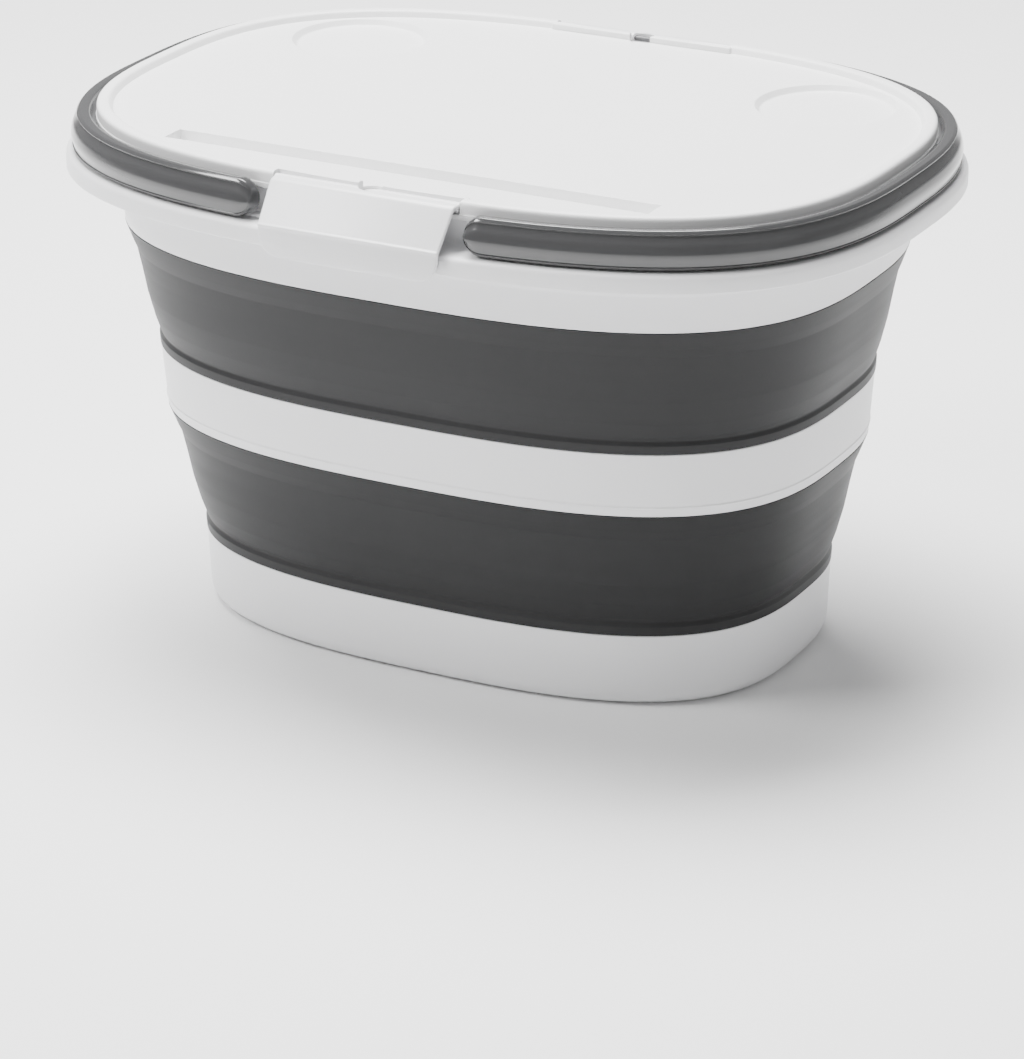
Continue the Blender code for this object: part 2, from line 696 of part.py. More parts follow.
def make_latch(sign_y):
    """A hinged flap that slopes over the ledge and drops down outside the lip."""
    tag = "back" if sign_y > 0 else "front"
    face = LID_HALF_WIDTH + LIP_OFFSET + LATCH_PLATE + LATCH_GAP
    root = LATCH_AXIS_Y
    top = LATCH_AXIS_Z + LATCH_BARREL_RADIUS - 15 * FLUSH
    fold = LEDGE_TOP + LATCH_FOLD_UP
    low = LEDGE_TOP - LIP_HEIGHT - LATCH_REACH
    thick = LATCH_PLATE
    spare = 2 * MM
    outline = rounded(
        [
            (root, top, 0),
            (root + LATCH_FLAT, top - LATCH_FALL, 4 * MM),
            (face, fold, 3 * MM),
            (face + LATCH_FLARE, low - spare, 0),
            (face + LATCH_FLARE - thick, low - spare, 0),
            (face - thick, fold - 0.5 * thick, 1.5 * MM),
            (root + LATCH_FLAT, top - 1.5 * LATCH_FALL - 1.4 * thick, 2 * MM),
            (root, top - thick, 0),
        ]
    )
    turn = Matrix(((0, 0, 1, 0), (sign_y, 0, 0, 0), (0, 1, 0, 0), (0, 0, 0, 1)))
    length = 2 * (LATCH_HALF_WIDTH + spare)
    latch = plate("latch_" + tag, outline, length, turn, MILKY)
    centre = Vector((0, sign_y * root, LATCH_AXIS_Z))
    barrel = cylinder("latch_barrel_" + tag, centre, (1, 0, 0), LATCH_BARREL_RADIUS, length)
    hole_radius = LATCH_PIN_RADIUS + PIN_FIT
    bore = cylinder("latch_bore_" + tag, centre, (1, 0, 0), hole_radius, length + spare, 16)
    half = LATCH_HALF_WIDTH
    trim = rounded(
        [
            (-half, top + 5 * MM, 0),
            (-half, low, LATCH_CORNER),
            (half, low, LATCH_CORNER),
            (half, top + 5 * MM, 0),
        ]
    )
    stand = Matrix(((1, 0, 0, 0), (0, 0, 1, sign_y * face), (0, 1, 0, 0), (0, 0, 0, 1)))
    window = plate("latch_window_" + tag, trim, 2 * (face - root + 3 * spare), stand, cutter=True)
    combine(latch, "UNION", barrel)
    combine(latch, "INTERSECT", window)
    combine(latch, "DIFFERENCE", bore)
    set_origin(latch, centre)
    pin_length = 2 * (LATCH_HALF_WIDTH + 2 * SEAT + LATCH_PIN_SEAT)
    turned_pin("latch_pin_" + tag, centre, (1, 0, 0), LATCH_PIN_RADIUS, pin_length, material=PIN_GREY)


# --- folding legs --------------------------------------------------------------------------


def leg_corners(rib):
    """Half of the frame's outline, as (across, down, radius) from the middle of its bar outwards.

    rib moves every edge inwards, for the pocket in the frame's faces.
    """
    foot = LEG_LENGTH - LEG_PAD - SEAT
    outer, inner = LEG_HALF_SPAN, LEG_HALF_SPAN - LEG_UPRIGHT
    toe = LEG_HALF_SPAN - LEG_FOOT_LENGTH
    heel = inner - LEG_FOOT_GAP
    bar_top = LEG_LENGTH - LEG_BAR_TOP
    bar_low = bar_top + LEG_BAR_HEIGHT
    mitre = 0.41 * rib
    return [
        (toe - LEG_BEND + mitre, bar_low - rib, LEG_FILLET),
        (toe + rib, bar_low + LEG_BEND - mitre, LEG_FILLET),
        (toe + rib, foot - rib, LEG_TOE_RADIUS - rib),
        (outer - rib, foot - rib, LEG_HEEL_RADIUS - rib),
        (outer - rib, LEG_SOLID_TOP if rib else 0, 0),
        (inner + rib, LEG_SOLID_TOP if rib else 0, 0),
        (inner + rib, foot - LEG_FOOT_THICKNESS + rib, LEG_STEP_RADIUS + rib),
        (heel - rib, foot - LEG_FOOT_THICKNESS + rib, LEG_STEP_RADIUS + rib),
        (heel - rib, bar_top + LEG_BEND + mitre, LEG_FILLET),
        (heel - LEG_BEND - mitre, bar_top + rib, LEG_FILLET),
        (LEG_BAR_RISE_HALF + LEG_BAR_RISE - mitre, bar_top - LEG_BAR_SLOPE + rib, LEG_RISE_RADIUS),
        (LEG_BAR_RISE_HALF - mitre, bar_top - LEG_BAR_RISE + rib, LEG_RISE_RADIUS),
    ]


def leg_outline(rib=0):
    """The whole frame: its half outline, then the same mirrored the other way round."""
    half = leg_corners(rib)
    other = [(-across, down, radius) for across, down, radius in reversed(half)]
    return rounded(half + other)


def make_leg(sign_x):
    """A U frame with stepped feet, folded flat under the lid with its feet towards the middle."""
    name = side_name("leg_frame", sign_x)
    pivot = Vector((sign_x * LEG_PIVOT_X, 0, LEG_PIVOT_Z))
    lay = Matrix(((0, -sign_x, 0, pivot.x), (1, 0, 0, 0), (0, 0, 1, pivot.z), (0, 0, 0, 1)))
    frame = plate(name, leg_outline(), LEG_DEPTH, lay, LEG_GREY)
    for level, tag in ((1, "top"), (-1, "under")):
        shift = Matrix.Translation((0, 0, level * 0.5 * LEG_DEPTH))
        pocket = plate(
            side_name("leg_pocket_" + tag, sign_x),
            leg_outline(LEG_POCKET_RIB),
            2 * LEG_POCKET_DEPTH,
            shift @ lay,
            cutter=True,
        )
        combine(frame, "DIFFERENCE", pocket)
    bar = LEG_LENGTH - LEG_BAR_TOP - LEG_BAR_RISE
    edge_near, edge_far = sorted(pivot.x - sign_x * (bar + reach) for reach in (-2 * MM, 4 * MM))
    slot = block(
        side_name("leg_slot", sign_x),
        (edge_near, -LEG_SLOT_HALF_LENGTH, pivot.z - 0.5 * LEG_SLOT_WIDTH),
        (edge_far, LEG_SLOT_HALF_LENGTH, pivot.z + 0.5 * LEG_SLOT_WIDTH),
    )
    for sign_y in (-1, 1):
        centre = Vector((pivot.x, sign_y * LEG_CENTRE_Y, pivot.z))
        knuckle = cylinder(
            side_name("leg_knuckle", sign_x, sign_y),
            centre,
            (0, 1, 0),
            0.5 * LEG_DEPTH - FLUSH,
            LEG_UPRIGHT - 2 * FLUSH,
            steps=24,
        )
        bore = cylinder(
            side_name("leg_bore", sign_x, sign_y),
            centre,
            (0, 1, 0),
            LEG_PIN_RADIUS + PIN_FIT,
            2 * LEG_UPRIGHT,
            steps=16,
        )
        combine(frame, "UNION", knuckle)
        combine(frame, "DIFFERENCE", bore)
        make_bracket(sign_x, sign_y, centre)
        make_foot(sign_x, sign_y, pivot)
    combine(frame, "DIFFERENCE", slot)
    set_origin(frame, pivot)


def make_bracket(sign_x, sign_y, centre):
    """A clip under the lid: a plate with two ears that hold the leg's pin, and the pin itself."""
    name = side_name("leg_bracket", sign_x, sign_y)
    gap = BRACKET_HALF_SPAN - BRACKET_EAR
    width = 2 * BRACKET_HALF_SPAN
    up = BRACKET_TOP - centre.z
    radius = BRACKET_EAR_RADIUS
    outline = rounded(
        [
            (BRACKET_OUTER_REACH, up, 0),
            (-BRACKET_INNER_REACH, up, 0),
            (-BRACKET_INNER_REACH, up - BRACKET_PLATE, 0.5 * MM),
            (-radius, up - 2 * BRACKET_PLATE, 0.5 * MM),
            (-radius, -radius, radius),
            (radius, -radius, radius),
            (radius, up - 2 * BRACKET_PLATE, 1 * MM),
            (BRACKET_OUTER_REACH, up - BRACKET_PLATE, 0.5 * MM),
        ]
    )
    stand = Matrix(((sign_x, 0, 0, centre.x), (0, 0, 1, centre.y), (0, 1, 0, centre.z), (0, 0, 0, 1)))
    bracket = plate(name, outline, width, stand, WHITE)
    mouth = block(
        side_name("bracket_mouth", sign_x, sign_y),
        (centre.x - 2 * radius, centre.y - gap, centre.z - 2 * radius),
        (centre.x + 2 * radius, centre.y + gap, BRACKET_TOP - BRACKET_PLATE),
    )
    length = width + LEG_PIN_HEAD + 2 * SEAT
    middle = Vector((centre.x, centre.y + sign_y * 0.5 * (LEG_PIN_HEAD + SEAT), centre.z))
    hole = cylinder(
        side_name("bracket_hole", sign_x, sign_y),
        centre,
        (0, 1, 0),
        LEG_PIN_RADIUS + PIN_FIT,
        2 * width,
        steps=16,
    )
    combine(bracket, "DIFFERENCE", mouth, hole)
    turned_pin(
        side_name("leg_pin", sign_x, sign_y),
        middle,
        (0, sign_y, 0),
        LEG_PIN_RADIUS,
        length,
        LEG_PIN_HEAD_RADIUS,
        LEG_PIN_HEAD,
        PIN_GREY,
    )


def make_foot(sign_x, sign_y, pivot):
    """A thin rubber pad under one foot of a leg frame."""
    near = LEG_HALF_SPAN - LEG_FOOT_LENGTH + LEG_PAD_INSET
    far = LEG_HALF_SPAN - LEG_PAD_INSET
    deep = 0.5 * LEG_DEPTH - LEG_PAD_EDGE
    corners = ((near, -deep), (far, -deep), (far, deep), (near, deep))
    outline = rounded([(*corner, LEG_PAD_RADIUS) for corner in corners])
    place = pivot.x - sign_x * (LEG_LENGTH - 0.5 * LEG_PAD)
    stand = Matrix(((0, 0, 1, place), (sign_y, 0, 0, 0), (0, 1, 0, pivot.z), (0, 0, 0, 1)))
    plate(side_name("leg_foot", sign_x, sign_y), outline, LEG_PAD, stand, PAD_GREY)


make_base_pan()
make_middle_ring()
make_rim()
make_bellows("lower_bellows", RING_BOTTOM_OFFSET, RING_BOTTOM, BASE_TOP_OFFSET, BASE_TOP)
make_bellows("upper_bellows", RIM_BOTTOM_OFFSET, RIM_BOTTOM, RING_TOP_OFFSET, RING_TOP)
make_lid()
for sign in (-1, 1):
    make_latch(sign)
    make_handle(sign)
    make_leg(sign)
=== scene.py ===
"""Looks of a collapsible oval foot bath tub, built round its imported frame.

From the floor up: a white base pan, a soft bellows, a white ring, a second bellows, a white rim
with two bail handles, and a lid that carries two latches and two folding leg frames.
"""

import math

import bmesh
import bpy
from mathutils import Matrix, Vector


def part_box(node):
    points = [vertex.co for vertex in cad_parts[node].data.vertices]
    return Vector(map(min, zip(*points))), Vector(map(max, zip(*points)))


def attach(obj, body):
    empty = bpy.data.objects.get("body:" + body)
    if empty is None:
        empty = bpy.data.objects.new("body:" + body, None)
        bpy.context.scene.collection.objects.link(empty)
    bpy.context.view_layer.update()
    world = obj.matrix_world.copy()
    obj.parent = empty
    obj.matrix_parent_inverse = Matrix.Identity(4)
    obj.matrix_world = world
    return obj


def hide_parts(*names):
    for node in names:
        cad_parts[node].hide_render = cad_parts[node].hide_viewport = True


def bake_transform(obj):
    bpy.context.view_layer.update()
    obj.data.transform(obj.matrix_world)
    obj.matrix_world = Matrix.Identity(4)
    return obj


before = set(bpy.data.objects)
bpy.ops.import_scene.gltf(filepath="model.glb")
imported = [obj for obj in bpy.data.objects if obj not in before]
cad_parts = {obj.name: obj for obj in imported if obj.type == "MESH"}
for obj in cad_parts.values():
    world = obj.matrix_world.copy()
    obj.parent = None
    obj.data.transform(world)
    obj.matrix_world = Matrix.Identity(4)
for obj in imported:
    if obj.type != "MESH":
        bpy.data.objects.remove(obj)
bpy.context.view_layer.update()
MM = 0.001


# --- base pan --------------------------------------------------------------------------------
# The tub stands on a stiff white polypropylene pan with a rounded foot. It is one injection
# moulding, and its outline is the lid's superellipse drawn in, as on every other band.


class Wire:
    """An output of a node. Arithmetic on it adds Math nodes to the tree it is in."""

    def __init__(self, net, socket):
        self.net = net
        self.socket = socket

    def __getitem__(self, name):
        return Wire(self.net, self.socket.node.outputs[name])

    def __add__(self, other):
        return self.net.math("ADD", self, other)

    def __radd__(self, other):
        return self.net.math("ADD", other, self)

    def __sub__(self, other):
        return self.net.math("SUBTRACT", self, other)

    def __mul__(self, other):
        return self.net.math("MULTIPLY", self, other)

    def __truediv__(self, other):
        return self.net.math("DIVIDE", self, other)

    def __pow__(self, other):
        return self.net.math("POWER", self, other)

    def __mod__(self, other):
        return self.net.math("MODULO", self, other)


class Net:
    """A node tree that is filled one node at a time."""

    def __init__(self, tree):
        self.tree = tree

    def node(self, kind, values=None, **settings):
        """Adds a node, with its settings first and then its sockets' values or links."""
        made = self.tree.nodes.new(kind)
        for name, value in settings.items():
            setattr(made, name, value)
        for name, value in (values or {}).items():
            if isinstance(value, Wire):
                self.tree.links.new(value.socket, made.inputs[name])
            else:
                made.inputs[name].default_value = value
        return Wire(self, made.outputs[0]) if made.outputs else made

    def math(self, operation, *values):
        return self.node("ShaderNodeMath", dict(enumerate(values)), operation=operation)


def start_tree(name, sockets, result):
    """A Geometry Nodes tree with these inputs and one output. Returns its net and its inputs."""
    tree = bpy.data.node_groups.new(name, "GeometryNodeTree")
    for label, kind in sockets:
        tree.interface.new_socket(label, in_out="INPUT", socket_type="NodeSocket" + kind)
    tree.interface.new_socket(result, in_out="OUTPUT", socket_type="NodeSocketGeometry")
    net = Net(tree)
    return net, net.node("NodeGroupInput")


def end_tree(net, geometry, material, result):
    """Ends a tree with real geometry in its material, on the output of this name."""
    real = net.node("GeometryNodeRealizeInstances", {"Geometry": geometry})
    done = net.node("GeometryNodeSetMaterial", {"Geometry": real, "Material": material})
    net.node("NodeGroupOutput", {result: done})
    return net.tree


def oval_shell_tree():
    """Carries a section of (offset, height) points round a superellipse, as a wall."""
    sockets = (
        ("Section", "Geometry"),
        ("Half length", "Float"),
        ("Half width", "Float"),
        ("Power", "Float"),
        ("Steps", "Int"),
        ("Closed section", "Int"),
        ("Material", "Material"),
    )
    net, given = start_tree("oval_shell", sockets, "Shell")
    section = given["Section"]
    size = net.node("GeometryNodeAttributeDomainSize", {"Geometry": section}, component="MESH")
    count = size["Point Count"]
    rows = count + given["Closed section"]
    columns = given["Steps"] + 1
    grid = net.node("GeometryNodeMeshGrid", {"Vertices X": columns, "Vertices Y": rows})
    index = net.node("GeometryNodeInputIndex")
    row = (index % rows) % count
    turn = net.math("FLOOR", index / rows) * (2 * math.pi) / given["Steps"]
    place = net.node("GeometryNodeInputPosition")
    point = net.node(
        "GeometryNodeSampleIndex",
        {"Geometry": section, "Value": place, "Index": row},
        data_type="FLOAT_VECTOR",
    )
    parts = net.node("ShaderNodeSeparateXYZ", {0: point})
    bend = net.math("DIVIDE", 2, given["Power"])

    def bow(wave):
        return net.math("SIGN", wave) * net.math("ABSOLUTE", wave) ** bend

    x = (given["Half length"] + parts["X"]) * bow(net.math("COSINE", turn))
    y = (given["Half width"] + parts["X"]) * bow(net.math("SINE", turn))
    place = net.node("ShaderNodeCombineXYZ", {"X": x, "Y": y, "Z": parts["Z"]})
    bent = net.node("GeometryNodeSetPosition", {"Geometry": grid, "Position": place})
    joined = net.node("GeometryNodeMergeByDistance", {"Geometry": bent, "Distance": MERGE_GAP})
    return end_tree(net, joined, given["Material"], "Shell")


lid_low, lid_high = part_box("lid")
rim_low, rim_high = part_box("rim")
base_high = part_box("base_pan")[1]
HALF_LENGTH = lid_high[0]
LIP_OFFSET = rim_high[0] - HALF_LENGTH
HALF_WIDTH = rim_high[1] - LIP_OFFSET
OVAL_POWER = 2.8
OVAL_STEPS = 256
MERGE_GAP = 0.02 * MM
SHARP_ANGLE = math.radians(40)
MOST_OF_A_RUN = 0.48
WALL = 3 * MM
oval_tree = oval_shell_tree()


def add_piece(name, mesh, material):
    """Links a finished mesh as an object and gives it its one material."""
    made = bpy.data.objects.new(name, mesh)
    bpy.context.scene.collection.objects.link(made)
    mesh.materials.clear()
    mesh.materials.append(material)
    mesh.shade_smooth()
    mesh.set_sharp_from_angle(angle=SHARP_ANGLE)
    return made


def evaluated_mesh(draft):
    """The draft's mesh with its modifiers applied. The draft itself goes."""
    graph = bpy.context.evaluated_depsgraph_get()
    mesh = bpy.data.meshes.new_from_object(draft.evaluated_get(graph))
    bpy.data.objects.remove(draft)
    return mesh


def run_tree(name, mesh, tree, values):
    """Runs a mesh through a Geometry Nodes tree and returns the plain mesh that comes out."""
    draft = bpy.data.objects.new(name, mesh)
    bpy.context.scene.collection.objects.link(draft)
    modifier = draft.modifiers.new(tree.name, "NODES")
    modifier.node_group = tree
    for item in tree.interface.items_tree:
        if item.in_out == "INPUT" and item.name in values:
            modifier[item.identifier] = values[item.name]
    return evaluated_mesh(draft)


def smooth_section(corners, closed=True, steps=6, spacing=0):
    """Rounds (offset, height, radius) corners and, where spacing is set, fills long runs."""
    line = []
    for index, (x, z, radius) in enumerate(corners):
        here = Vector((x, z))
        end_point = not closed and index in (0, len(corners) - 1)
        if radius <= 0 or end_point:
            line.append(here)
            continue
        before = Vector(corners[index - 1][:2]) - here
        after = Vector(corners[(index + 1) % len(corners)][:2]) - here
        reach = radius / math.tan(0.5 * before.angle(after))
        reach = min(reach, MOST_OF_A_RUN * before.length, MOST_OF_A_RUN * after.length)
        start = here + before.normalized() * reach
        end = here + after.normalized() * reach
        for step in range(steps + 1):
            share = step / steps
            line.append(start.lerp(here, share).lerp(here.lerp(end, share), share))
    if not spacing:
        return line
    filled = []
    for one, two in zip(line, line[1:] + line[:1] if closed else line[1:]):
        pieces = max(1, math.ceil((two - one).length / spacing))
        filled += [one.lerp(two, step / pieces) for step in range(pieces)]
    return filled if closed else filled + line[-1:]


def oval_shell(name, section, closed, material):
    """A wall of this section round the oval, as a bmesh. An open section leaves two open rings."""
    outline = bpy.data.meshes.new(name + "_section")
    edges = [(index, index + 1) for index in range(len(section) - 1)]
    outline.from_pydata([(x, 0, z) for x, z in section], edges, [])
    sizes = {
        "Half length": HALF_LENGTH,
        "Half width": HALF_WIDTH,
        "Power": OVAL_POWER,
        "Steps": OVAL_STEPS,
        "Closed section": int(closed),
        "Material": material,
    }
    work = bmesh.new()
    work.from_mesh(run_tree(name, outline, oval_tree, sizes))
    return work


def plain_mesh(name, work):
    """The bmesh as a mesh. The bmesh itself goes."""
    mesh = bpy.data.meshes.new(name)
    work.to_mesh(mesh)
    work.free()
    return mesh


def finish_mesh(name, work, material):
    """Turns a closed bmesh into a piece, with every face pointing out."""
    bmesh.ops.recalc_face_normals(work, faces=work.faces)
    return add_piece(name, plain_mesh(name, work), material)


def start_material(name):
    """A new material. Returns it with its net and the object coordinates to draw on."""
    material = bpy.data.materials.new(name)
    material.use_nodes = True
    net = Net(material.node_tree)
    return material, net, net.node("ShaderNodeTexCoord")["Object"]


def set_shader(net, wires, values):
    """Links wires and sets plain values on the tree's shader."""
    shader = net.tree.nodes["Principled BSDF"]
    for socket, wire in wires.items():
        net.tree.links.new(wire.socket, shader.inputs[socket])
    for socket, value in values.items():
        shader.inputs[socket].default_value = value


def mottled(net, place, scale, detail):
    """A noise over the object and its swing round zero."""
    noise = net.node("ShaderNodeTexNoise", {"Vector": place, "Scale": scale, "Detail": detail})
    return noise, noise - 0.5


def shaded(net, colour, shade):
    return net.node("ShaderNodeVectorMath", {0: colour, "Scale": shade}, operation="SCALE")


CLOUD_SCALE, FLOW_SCALE = 9.0, 60.0
GLOSS_BY_FLOW, GLOSS_BY_CLOUD = 0.08, 0.06
GRAIN_STRENGTH = 0.35
COAT_ROUGHNESS = 0.06
SCATTER_REACH = 4 * MM


def moulded_plastic(
    name, colour, roughness, grain, depth, cloud=0.015, coat=0, scatter=0, shine=0.5
):
    """A moulded plastic: a fine grain in the surface, a faint cloud in the colour and the gloss."""
    material, net, place = start_material(name)
    wide_swing = mottled(net, place, CLOUD_SCALE, 3.0)[1]
    fine, fine_swing = mottled(net, place, grain, 2.0)
    flow_swing = mottled(net, place, FLOW_SCALE, 4.0)[1]
    shade = 1 + wide_swing * (2 * cloud) + fine_swing * cloud
    gloss = roughness + flow_swing * GLOSS_BY_FLOW + wide_swing * GLOSS_BY_CLOUD
    relief = {"Strength": GRAIN_STRENGTH, "Distance": depth, "Height": fine}
    wires = {
        "Base Color": shaded(net, colour, shade),
        "Roughness": gloss,
        "Normal": net.node("ShaderNodeBump", relief),
    }
    values = {
        "Specular IOR Level": shine,
        "Coat Weight": coat,
        "Coat Roughness": COAT_ROUGHNESS,
        "Subsurface Weight": scatter,
        "Subsurface Radius": (SCATTER_REACH,) * 3,
        "Subsurface Scale": 1.0,
    }
    set_shader(net, wires, values)
    return material


white_shell = moulded_plastic(
    "white_polypropylene", (0.84, 0.84, 0.85), roughness=0.36, grain=1500.0, depth=0.12 * MM
)

BASE_TOP_OFFSET = base_high[0] - HALF_LENGTH
BASE_BOTTOM_OFFSET = BASE_TOP_OFFSET - 1.5 * MM
BASE_CORNER = 10 * MM
BASE_EDGE = 0.8 * MM
FOOT_RING_IN = 25 * MM
FOOT_RING_HEIGHT = 1.2 * MM
base_foot = BASE_BOTTOM_OFFSET - BASE_CORNER
foot_ring = base_foot - FOOT_RING_IN
base_section = smooth_section(
    [
        (base_foot - 2 * BASE_CORNER, WALL, 0),
        (BASE_BOTTOM_OFFSET - WALL, WALL, BASE_CORNER),
        (BASE_TOP_OFFSET - WALL, base_high[2], BASE_EDGE),
        (BASE_TOP_OFFSET, base_high[2], BASE_EDGE),
        (BASE_BOTTOM_OFFSET, 0, BASE_CORNER),
        (foot_ring, 0, 0.5 * FOOT_RING_HEIGHT),
        (foot_ring - FOOT_RING_HEIGHT, FOOT_RING_HEIGHT, 0),
    ],
    closed=False,
    steps=8,
)
base_work = oval_shell("base_shell", base_section, False, white_shell)
bmesh.ops.holes_fill(base_work, edges=[edge for edge in base_work.edges if edge.is_boundary])
base_shell = finish_mesh("base_shell", base_work, white_shell)
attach(base_shell, "base")
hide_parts("base_pan")


# --- bellows ---------------------------------------------------------------------------------
# Two soft thermoplastic rubber walls are moulded onto the stiff bands. Each has a shoulder under
# its upper band, a bellied wall and a fold groove over its lower band.

BELLOWS_WALL = 2.2 * MM
BELLOWS_INSIDE_ROUND = 6 * MM
BELLOWS_SPACING = 2 * MM
SEAM = 0.3 * MM
# Corners of the outer face: share of the way down, share of the way in, radius in millimetres.
BELLOWS_SHAPE = (
    (0.0, 0.0, 0),
    (0.13, 0.2, 5),
    (0.2, 0.32, 6),
    (0.36, 0.46, 14),
    (0.58, 0.63, 16),
    (0.76, 0.82, 12),
    (0.87, 0.97, 5),
    (0.9, 1.03, 1.5),
    (0.935, 0.965, 1.5),
    (1.0, 0.98, 0),
)
# The corners that the inner face follows, from the bottom up.
BELLOWS_INSIDE = (9, 6, 4, 1, 0)
RUBBER_FLOW_SCALE, RUBBER_FLOW_SQUEEZE = 14.0, (1, 1, 12)
RUBBER_BLOOM_SCALE = 900.0
SHADE_BY_FLOW, SHADE_BY_BLOOM, RUBBER_GLOSS_BY_FLOW = 0.14, 0.08, 0.12
RUBBER_SHINE = 0.18
BLOOM_STRENGTH, BLOOM_DEPTH = 0.3, 0.1 * MM


def rubber(name, colour, roughness):
    """A satin moulded rubber: a fine bloom, faint rings of flow round the tub, soft sheen."""
    material, net, place = start_material(name)
    squeeze = {0: place, 1: RUBBER_FLOW_SQUEEZE}
    long_way = net.node("ShaderNodeVectorMath", squeeze, operation="MULTIPLY")
    flow_swing = mottled(net, long_way, RUBBER_FLOW_SCALE, 5.0)[1]
    bloom, bloom_swing = mottled(net, place, RUBBER_BLOOM_SCALE, 2.0)
    shade = 1 + flow_swing * SHADE_BY_FLOW + bloom_swing * SHADE_BY_BLOOM
    relief = {"Strength": BLOOM_STRENGTH, "Distance": BLOOM_DEPTH, "Height": bloom}
    wires = {
        "Base Color": shaded(net, colour, shade),
        "Roughness": roughness + flow_swing * RUBBER_GLOSS_BY_FLOW,
        "Normal": net.node("ShaderNodeBump", relief),
    }
    set_shader(net, wires, {"Specular IOR Level": RUBBER_SHINE})
    return material


soft_grey = rubber("soft_grey_rubber", (0.026, 0.026, 0.0267), roughness=0.48)
ring_low, ring_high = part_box("middle_ring")
RING_TOP_OFFSET = ring_high[0] - HALF_LENGTH
RING_BOTTOM_OFFSET = RING_TOP_OFFSET - 2.5 * MM
RIM_BOTTOM_OFFSET = -11.5 * MM


def add_bellows(node, top, bottom, fold):
    """A soft wall between two (offset, height) edges.

    The fold argument is not used.
    """
    drop = top[1] - bottom[1] - 2 * SEAM
    inset = top[0] - bottom[0]
    outside = [
        (top[0] - inset * share, top[1] - SEAM - drop * down, radius * MM)
        for down, share, radius in BELLOWS_SHAPE
    ]
    rounds = [0] + [BELLOWS_INSIDE_ROUND] * (len(BELLOWS_INSIDE) - 2) + [0]
    inside = [
        (outside[n][0] - BELLOWS_WALL, outside[n][1], radius)
        for n, radius in zip(BELLOWS_INSIDE, rounds)
    ]
    section = smooth_section(outside + inside, steps=5, spacing=BELLOWS_SPACING)
    wall = finish_mesh(node + "_wall", oval_shell(node, section, True, soft_grey), soft_grey)
    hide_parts(node)
    bottom[1] + fold[0]
    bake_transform(wall)


base_edge = (BASE_TOP_OFFSET, base_high[2])
ring_foot = (RING_BOTTOM_OFFSET, ring_low[2])
ring_edge = (RING_TOP_OFFSET, ring_high[2])
rim_foot = (RIM_BOTTOM_OFFSET, rim_low[2])
lower_fold = (0, ring_foot[1] - 5 * MM)
upper_fold = (-3 * MM, rim_foot[1] - 8 * MM)
add_bellows("lower_bellows", ring_foot, base_edge, lower_fold)
add_bellows("upper_bellows", rim_foot, ring_edge, upper_fold)


# --- middle ring -----------------------------------------------------------------------------
# A stiff white polypropylene band keeps the bellows oval. A thin bead runs round it just above
# its lower edge, and both edges are rounded where the rubber is moulded on.

BEAD_UP = 4 * MM
BEAD_WIDTH = 1.6 * MM
BEAD_RISE = 0.45 * MM
ring_slope = (ring_edge[0] - ring_foot[0]) / (ring_edge[1] - ring_foot[1])


def on_ring(up, out, radius):
    """A corner on the ring's outer slope, up from its foot and out from the slope."""
    return (ring_foot[0] + ring_slope * up + out, ring_foot[1] + up, radius)


RING_EDGE_IN, RING_EDGE_OUT, BEAD_ROUND = 0.6 * MM, 0.7 * MM, 0.4 * MM
ring_height = ring_edge[1] - ring_foot[1]
ring_section = smooth_section(
    [
        on_ring(ring_height, -WALL, RING_EDGE_IN),
        on_ring(ring_height, 0, RING_EDGE_OUT),
        on_ring(BEAD_UP + BEAD_WIDTH, 0, BEAD_ROUND),
        on_ring(BEAD_UP + 0.5 * BEAD_WIDTH, BEAD_RISE, BEAD_ROUND),
        on_ring(BEAD_UP, 0, BEAD_ROUND),
        on_ring(0, 0, RING_EDGE_OUT),
        on_ring(0, -WALL, RING_EDGE_IN),
    ],
    steps=4,
)
ring_work = oval_shell("ring", ring_section, True, white_shell)
ring_shell = finish_mesh("ring_shell", ring_work, white_shell)
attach(ring_shell, "middle")
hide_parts("middle_ring")


# --- rim -------------------------------------------------------------------------------------
# The stiff top of the tub: a short wall, a ledge that the handles lie on, a rolled lip round it
# and an upstand that the lid drops over. Four bosses on the upstand carry the handle pins.

